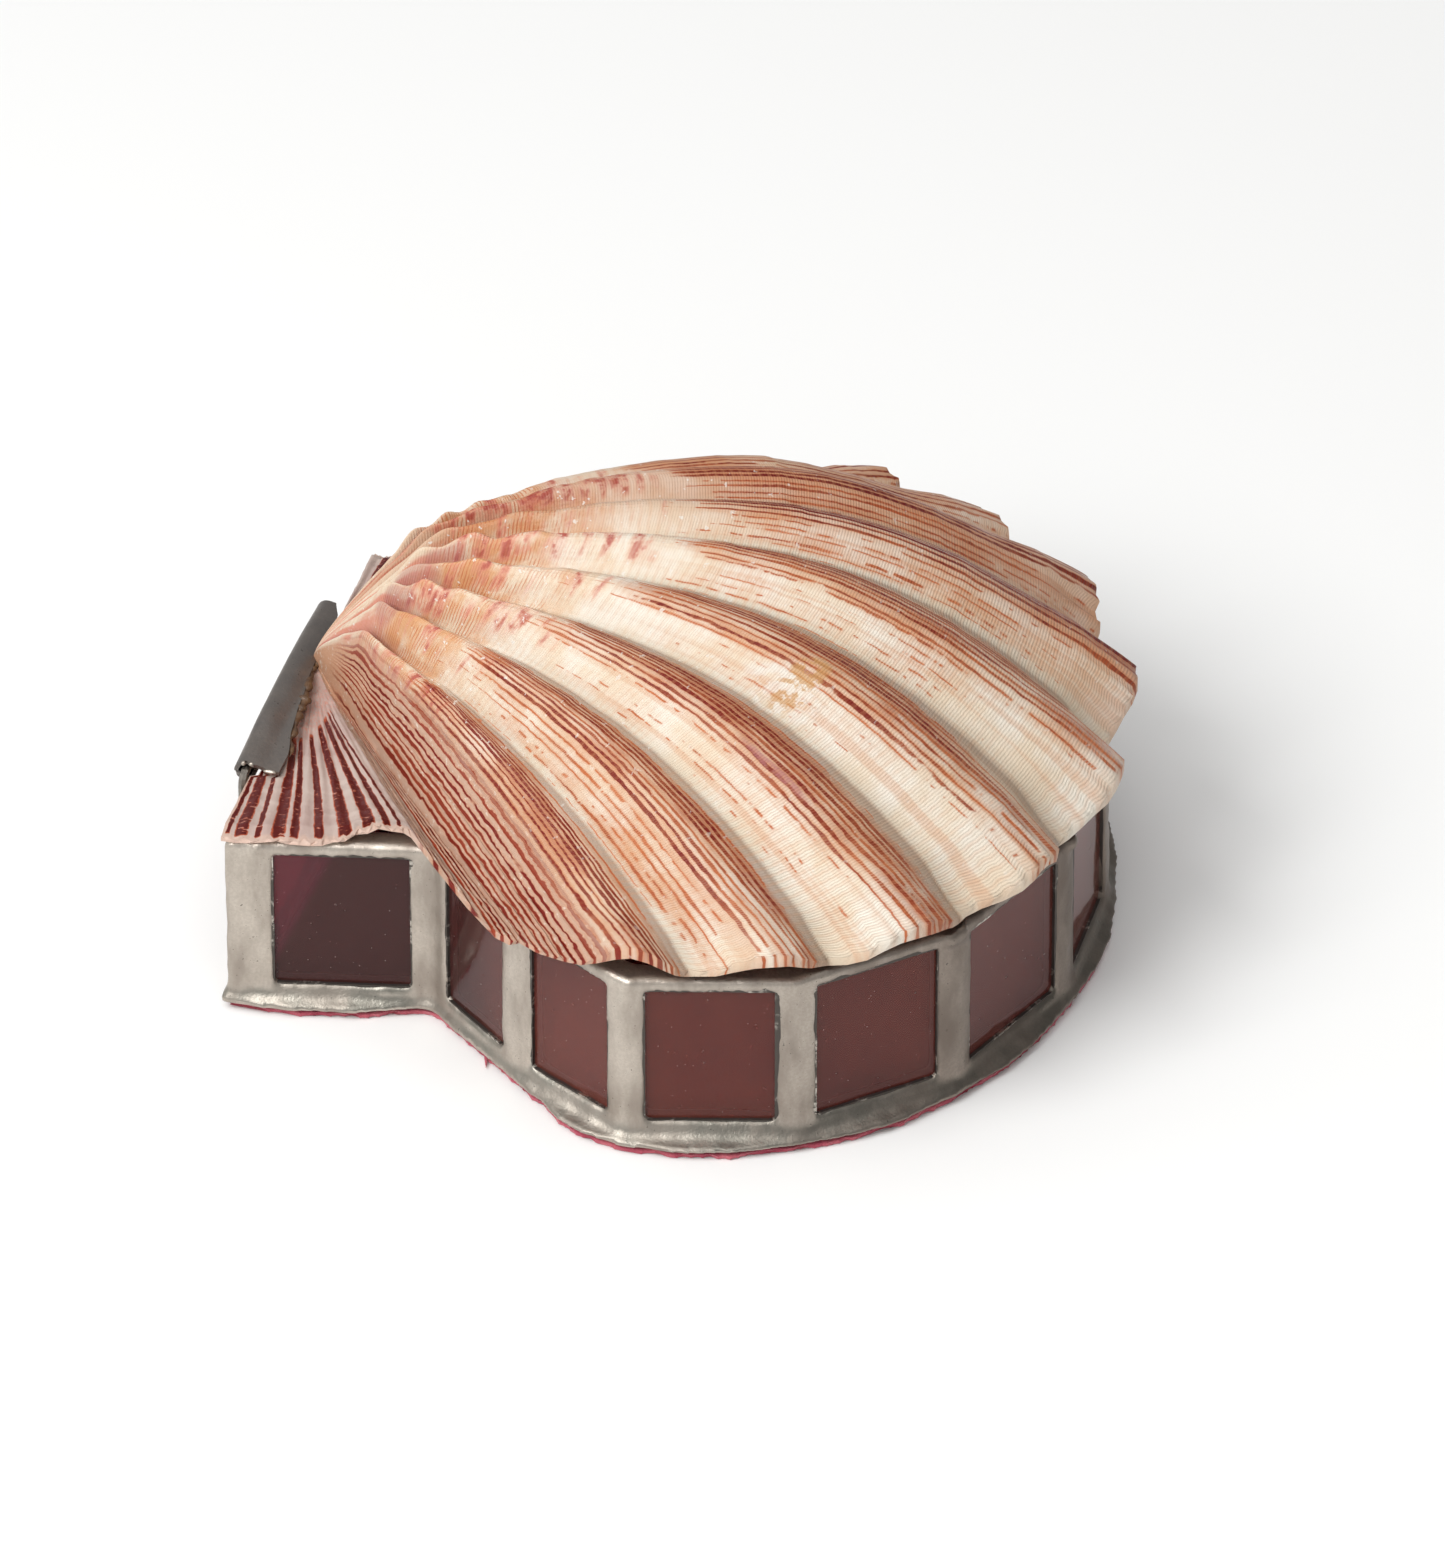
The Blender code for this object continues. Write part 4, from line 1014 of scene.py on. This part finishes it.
def makeLattice(material, foilMaterial):
    lattice = mergedCopy("solder_frame", "solderLattice")
    joinParts(lattice, [lattice] + fillSlots() + addBlobs())
    applyModifier(lattice, "REMESH", mode="VOXEL", voxel_size=solder["voxel"] * mm)
    applyModifier(lattice, "SMOOTH", factor=0.5, iterations=solder["smoothing"])
    points, normals = getPoints(lattice.data), getNormals(lattice.data)
    push = sum(height * spaceNoise(points / mm, size, seed) for size, height, seed in solder["lumps"])
    setPoints(lattice.data, np.clip(points + normals * push[:, None] * mm, *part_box("solder_frame")))
    smoothShade(lattice, 50)
    lattice.data.materials.append(material)
    joinParts(lattice, [lattice, makeFoil(foilMaterial)])
    settle(lattice, "box", "solder", None, "solder_frame")


def makeFoilMaterial():
    # near black as painted shade and dark reflection along each window's edge, bright where the solder ran
    # thin
    material, shader = newMaterial("foilEdge", Metallic=1.0)
    marks = useGroup(unevenness, patchScale=170.0, speckScale=1500.0, speckLevel=0.55)
    share = product(fade(marks["patches"], 0.60, 0.95), fade(marks["grain"], 0.4, 0.55))
    finishShader(shader, blendColour(share, solder["edgeShade"], solder["thin"]),
                 fade(share, 0.0, 1.0, 0.6, 0.3), (marks["grain"], 0.6, 0.00015))
    return material


solderMaterial = makeMetalMaterial("solder", solder["bright"], solder["dull"], 0.36, 160.0, solder["sideShade"])
makeLattice(solderMaterial, makeFoilMaterial())
print("lattice done")


# Glass: the CAD panes stay, with a plum tint, dust and fine scratches

glass = {
    "tint": (0.40, 0.105, 0.088, 1), "deep": (0.50, 0.135, 0.100, 1), "dust": (0.60, 0.52, 0.47, 1),
    # the ear's glass is darker, and plum at its outer top corner
    "earTint": (0.215, 0.068, 0.062, 1), "plum": (0.40, 0.090, 0.125, 1), "earFrom": (0.012, 0.024),
    "cornerSlope": 0.42, "cornerFrom": (0.0528, 0.0540),
    "scratchTurn": (0.3, 0.5, 0.7), "scratchScale": (300.0, 2600.0, 2600.0),
}


def makeGlassMaterial(name):
    material, shader = newMaterial(name, Transmission_Weight=0.82, IOR=1.33, Metallic=0.0)
    marks = useGroup(unevenness, patchScale=45.0, speckScale=900.0, speckLevel=0.71)
    place = addNode("ShaderNodeMapping",
                    {"Vector": objectPlace(), "Rotation": glass["scratchTurn"],
                     "Scale": glass["scratchScale"]}).outputs[0]
    scratches = fade(noiseOf(place, 1.0, 1.0, 0.5), 0.77, 0.80)
    marked = larger(marks["specks"], scratches)
    parts = splitVector(objectPlace())
    corner = scaleAdd(parts["Z"], glass["cornerSlope"], parts["Y"])
    colour = layered(glass["tint"], (marks["patches"], glass["deep"]),
                     (fade(parts["Y"], *glass["earFrom"]), glass["earTint"]),
                     (fade(corner, *glass["cornerFrom"], 0.0, 0.8), glass["plum"]),
                     (product(marked, 0.8), glass["dust"]))
    finishShader(shader, colour, larger(scaleAdd(marks["patches"], 0.05, 0.04), product(marked, 0.6)))
    return material


glassMaterial = makeGlassMaterial("plumGlass")
for name in paneNames + ["base_glass"]:
    node = frame["nodes"][name]
    refinish(node, glassMaterial)
print("glass done")


# Felt under the base, with a frayed edge

felt = {
    "voxel": 0.5, "inset": 0.45, "flatter": (1.0, 1.0, 0.25), "top": 0.82,
    # unevenness of the edge: size and height of the lumps, and seed
    "lumps": ((1.7, 0.4, 60), (0.9, 0.15, 64)),
    "seed": 4, "frays": 110, "frayLength": (0.5, 1.1), "frayWidth": 0.07, "fraySpread": 38,
    "frayHeight": 0.35, "frayBand": (0.2, 0.6),
    "dark": (0.42, 0.055, 0.095, 1), "light": (0.56, 0.13, 0.16, 1),
    # one long wisp at the corner between the ear and the fan: x, y, direction in degrees, length
    "wisp": (-45.6, 18.3, 196.0, 2.3),
}


def makeFeltMaterial():
    material, shader = newMaterial("felt", Roughness=0.95, Sheen_Weight=0.4)
    marks = useGroup(unevenness, patchScale=220.0, speckScale=2600.0, speckLevel=0.62)
    finishShader(shader, blendColour(marks["patches"], felt["dark"], felt["light"]),
                 bump=(marks["grain"], 0.8, 0.0003))
    return material


def addFray(x, y, turn, length, width):
    # a pointed wisp that lies out from the felt's edge
    bpy.ops.mesh.primitive_cone_add(vertices=5, radius1=width * mm, radius2=0.1 * width * mm,
                                    depth=length * mm, location=(x * mm, y * mm, felt["frayHeight"] * mm),
                                    rotation=(0, math.radians(90), math.radians(turn)))
    return bpy.context.object


def makeFrays(pad):
    chance = np.random.default_rng(felt["seed"])
    points, normals = getPoints(pad.data) / mm, getNormals(pad.data)
    low, high = felt["frayBand"]
    edge = np.flatnonzero((np.abs(normals[:, 2]) < 0.3) & (points[:, 2] > low) & (points[:, 2] < high))
    frays = []
    for place in chance.choice(edge, felt["frays"], replace=False):
        facing = math.degrees(math.atan2(normals[place, 1], normals[place, 0]))
        turn = facing + chance.normal(0, felt["fraySpread"])
        length = chance.uniform(*felt["frayLength"])
        frays.append(addFray(points[place, 0], points[place, 1], turn, length, felt["frayWidth"]))
    return frays + [addFray(*felt["wisp"], 5 * felt["frayWidth"])]


def makeFelt(material):
    pad = mergedCopy("felt_pad", "feltPad")
    applyModifier(pad, "REMESH", mode="VOXEL", voxel_size=felt["voxel"] * mm)
    points = getPoints(pad.data)
    push = sum(height * spaceNoise(points / mm, size, seed) for size, height, seed in felt["lumps"])
    sideways = getNormals(pad.data) * np.array(felt["flatter"])
    points = points + sideways * (push - felt["inset"])[:, None] * mm
    points[:, 2] = np.clip(points[:, 2] / mm, 0.0, felt["top"]) * mm
    setPoints(pad.data, points)
    joinParts(pad, [pad] + makeFrays(pad))
    smoothShade(pad, 60)
    settle(pad, "box", "felt", material, "felt_pad")


makeFelt(makeFeltMaterial())
print("felt done")


# Hinge: sleeve of rolled sheet, its glue and the wire

sleeve = {
    "inner": 1.0, "wall": 0.6, "mouthAngle": -140.0, "lastAngle": 98.0, "stations": 150, "turns": 26,
    "leafColumns": 14, "leafGap": 0.3,
    # width from the axis to the edge on the shell, at shares of the length from the near end
    "widths": ((0.0, 5.0), (0.1, 4.9), (0.3, 3.9), (0.5, 2.8), (0.66, 2.5), (0.8, 2.3), (0.93, 2.1),
               (1.0, 1.3)),
    "endWander": 0.45, "edgeWander": 0.25, "dent": 0.16, "leafReach": 3.2, "swell": 1.3,
    # drops of solder on the near end: share of the section, size along, across and up
    "drops": ((0.58, 0.30, 0.35, 0.05), (0.70, 0.25, 0.40, 0.02), (0.90, 0.35, 0.95, 0.04)),
    # glue along the edge: from and to as shares of the length, and its half width
    "glueFrom": 0.10, "glueTo": 0.74, "glueRadius": 0.72, "glueRings": 90, "glueSides": 12,
    "glueSway": 0.25, "glueInward": 0.15, "glueDown": 0.20, "glueWide": 1.2, "glueHigh": 0.8,
    "glueMerge": 0.003,
    "glueDark": (0.035, 0.016, 0.009, 1), "glueLight": (0.13, 0.068, 0.030, 1),
    "metal": ((0.27, 0.235, 0.210, 1), (0.185, 0.170, 0.160, 1), 0.42, 120.0),
    "wireMetal": ((0.30, 0.27, 0.23, 1), (0.20, 0.18, 0.16, 1), 0.35, 200.0),
}


def sleeveSection():
    # the rolled part, round the wire
    radius = sleeve["inner"] + sleeve["wall"] / 2
    turns = np.radians(np.linspace(sleeve["mouthAngle"], sleeve["lastAngle"], sleeve["turns"]))
    return radius * np.cos(turns), radius * np.sin(turns)


def sleeveGrid():
    # the middle of the sheet: rows run along the hinge and columns follow its section
    rollY, rollZ = sleeveSection()
    low, high = (corner.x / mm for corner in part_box("hinge_sleeve"))
    share = np.linspace(0, 1, sleeve["stations"] + 1)
    along = low + (high - low) * share
    width = np.interp(share, *zip(*sleeve["widths"]))
    width += sleeve["edgeWander"] * softNoise(share * 9, share * 0 + 2, 70)
    leafHeight = earTop + sleeve["leafGap"] + sleeve["wall"] / 2 - hinge.z
    drop = np.linspace(0, 1, sleeve["leafColumns"] + 1)[1:]
    leafY = rollY[-1] - drop[None, :] * (width[:, None] + rollY[-1])
    fallen = smoothStep(0, sleeve["leafReach"], -leafY)
    leafZ = rollZ[-1] + (leafHeight - rollZ[-1]) * fallen
    y = np.concatenate([np.repeat(rollY[None, :], len(share), 0), leafY], axis=1)
    z = np.concatenate([np.repeat(rollZ[None, :], len(share), 0), leafZ], axis=1)
    x = np.repeat(along[:, None], y.shape[1], 1)
    section = np.linspace(0, 1, y.shape[1])[None, :] * 16 + share[:, None] * 0
    fromEnd = np.clip(1 - share * (high - low) / 2.5, 0, 1)[:, None]
    x = x + sleeve["endWander"] * np.abs(softNoise(section, section * 0, 72)) * fromEnd
    dents = sleeve["dent"] * softNoise(x / 5, y / 2.5, 74) * smoothStep(-0.5, 1.0, z)
    swell = sleeve["swell"] * np.sin(np.pi * share[:, None]) * smoothStep(-0.8, 1.3, z)
    return x, hinge.y + y, hinge.z + z + dents + swell


def makeGlue(x, y, z, material):
    # a lumpy bead that follows the sheet's edge
    share = np.linspace(sleeve["glueFrom"], sleeve["glueTo"], sleeve["glueRings"] + 1)
    station = share * sleeve["stations"]
    edge = [np.interp(station, np.arange(len(value)), value[:, -1]) for value in (x, y, z)]
    ends = np.sqrt(np.clip(1 - np.abs(share - share.mean()) / (share[-1] - share.mean()), 0, 1))
    lumps = 0.8 + 0.45 * softNoise(share * 60, share * 0, 76) + 0.3 * softNoise(share * 19, share * 0, 77)
    radius = (sleeve["glueRadius"] * np.clip(lumps, 0.35, 2) * ends)[:, None]
    around = np.linspace(0, 2 * np.pi, sleeve["glueSides"] + 1)[None, :]
    sway = sleeve["glueSway"] * softNoise(share * 40, share * 0, 78)[:, None]
    wide, high = sleeve["glueWide"] * radius, sleeve["glueHigh"] * radius
    places = np.stack([edge[0][:, None] + around * 0,
                       edge[1][:, None] - sleeve["glueInward"] + sway + wide * np.cos(around),
                       edge[2][:, None] - sleeve["glueDown"] + high * np.sin(around)], axis=-1)
    glue = addGrid(places * mm)
    mergeDoubles(glue.data, sleeve["glueMerge"])
    glue.data.materials.append(material)
    return glue


def makeGlueMaterial():
    material, shader = newMaterial("oldGlue", Roughness=0.32)
    marks = useGroup(unevenness, patchScale=420.0, speckScale=2600.0, speckLevel=0.62)
    finishShader(shader, blendColour(marks["patches"], sleeve["glueDark"], sleeve["glueLight"]),
                 bump=(marks["grain"], 0.6, 0.0002))
    return material


def makeSleeve(material, dropMaterial):
    x, y, z = sleeveGrid()
    piece = addGrid(np.stack([x, y, z], axis=-1) * mm)
    piece.name = piece.data.name = "hingeSleeve"
    applyModifier(piece, "SOLIDIFY", thickness=sleeve["wall"] * mm, offset=0.0, use_even_offset=True)
    piece.data.materials.append(material)
    parts = [piece]
    for share, lengthX, lengthY, height in sleeve["drops"]:
        column = round(share * (x.shape[1] - 1))
        spot = [float(value[0, column]) * mm for value in (x, y, z)]
        bpy.ops.mesh.primitive_ico_sphere_add(subdivisions=3, radius=mm, location=spot)
        drop = bpy.context.object
        drop.scale = (lengthX, lengthY, height + sleeve["wall"] / 2)
        drop.data.materials.append(dropMaterial)
        parts.append(drop)
    parts.append(makeGlue(x, y, z, makeGlueMaterial()))
    joinParts(piece, parts)
    selectOnly(piece)
    bpy.ops.object.mode_set(mode="EDIT")
    bpy.ops.mesh.select_all(action="SELECT")
    bpy.ops.mesh.normals_make_consistent(inside=False)
    bpy.ops.object.mode_set(mode="OBJECT")
    smoothShade(piece, 40)
    settle(piece, "lid", "sheet_metal", None, "hinge_sleeve")


makeSleeve(makeMetalMaterial("agedSheet", *sleeve["metal"]), solderMaterial)
refinish(frame["nodes"]["hinge_wire"], makeMetalMaterial("wire", *sleeve["wireMetal"]))
print("hinge done")


# Floor, light and camera

studio = {
    "lookAt": (-18.96, -7.92, 35.72), "azimuth": -73.5, "elevation": 38.0, "distance": 2500.0, "lens": 418.0,
    "floorColour": (0.90, 0.90, 0.89, 1),
    # the room is brightest to the camera's left
    "brightSide": (-0.55, 0.75, 0.35), "roomLight": (0.36, 0.70),
    # each lamp: name, azimuth, elevation, distance, size, power
    "lamps": (("keySoftbox", -125.0, 48.0, 0.9, 0.50, 6.0), ("topSoftbox", -60.0, 80.0, 0.9, 0.6, 1.4)),
}


def directionOf(azimuth, elevation):
    turn, rise = math.radians(azimuth), math.radians(elevation)
    return Vector((math.sin(turn) * math.cos(rise), -math.cos(turn) * math.cos(rise), math.sin(rise)))


def makeStudio():
    bpy.ops.mesh.primitive_plane_add(size=6.0, location=(0, 0, -0.0001))
    floor = bpy.context.object
    floor.name = "paleFloor"
    material, shader = newMaterial("paleFloor", Roughness=0.9)
    shader.inputs["Base Color"].default_value = studio["floorColour"]
    floor.data.materials.append(material)

    world = bpy.data.worlds.new("softRoom")
    bpy.context.scene.world = world
    world.use_nodes = True
    opened["tree"] = world.node_tree
    background = world.node_tree.nodes["Background"]
    across = dotWith(addNode("ShaderNodeTexCoord").outputs["Generated"], studio["brightSide"])
    feed(background.inputs["Strength"], fade(across, -0.7, 0.7, *studio["roomLight"]))
    background.inputs["Color"].default_value = (1.0, 1.0, 1.0, 1)

    middle = Vector(studio["lookAt"]) * mm
    for name, azimuth, elevation, distance, size, power in studio["lamps"]:
        back = directionOf(azimuth, elevation)
        bpy.ops.object.light_add(type="AREA", location=middle + back * distance)
        lamp = bpy.context.object
        lamp.name = name
        lamp.data.size = size
        lamp.data.energy = power
        lamp.rotation_euler = (-back).to_track_quat("-Z", "Y").to_euler()

    back = directionOf(studio["azimuth"], studio["elevation"])
    bpy.ops.object.camera_add(location=middle + back * studio["distance"] * mm)
    camera = bpy.context.object
    camera.rotation_euler = (-back).to_track_quat("-Z", "Y").to_euler()
    camera.data.lens = studio["lens"]
    camera.data.sensor_width = 36.0
    camera.data.clip_end = 50.0
    bpy.context.scene.camera = camera
    bpy.context.scene.view_settings.view_transform = "Standard"
    print("studio done")


makeStudio()
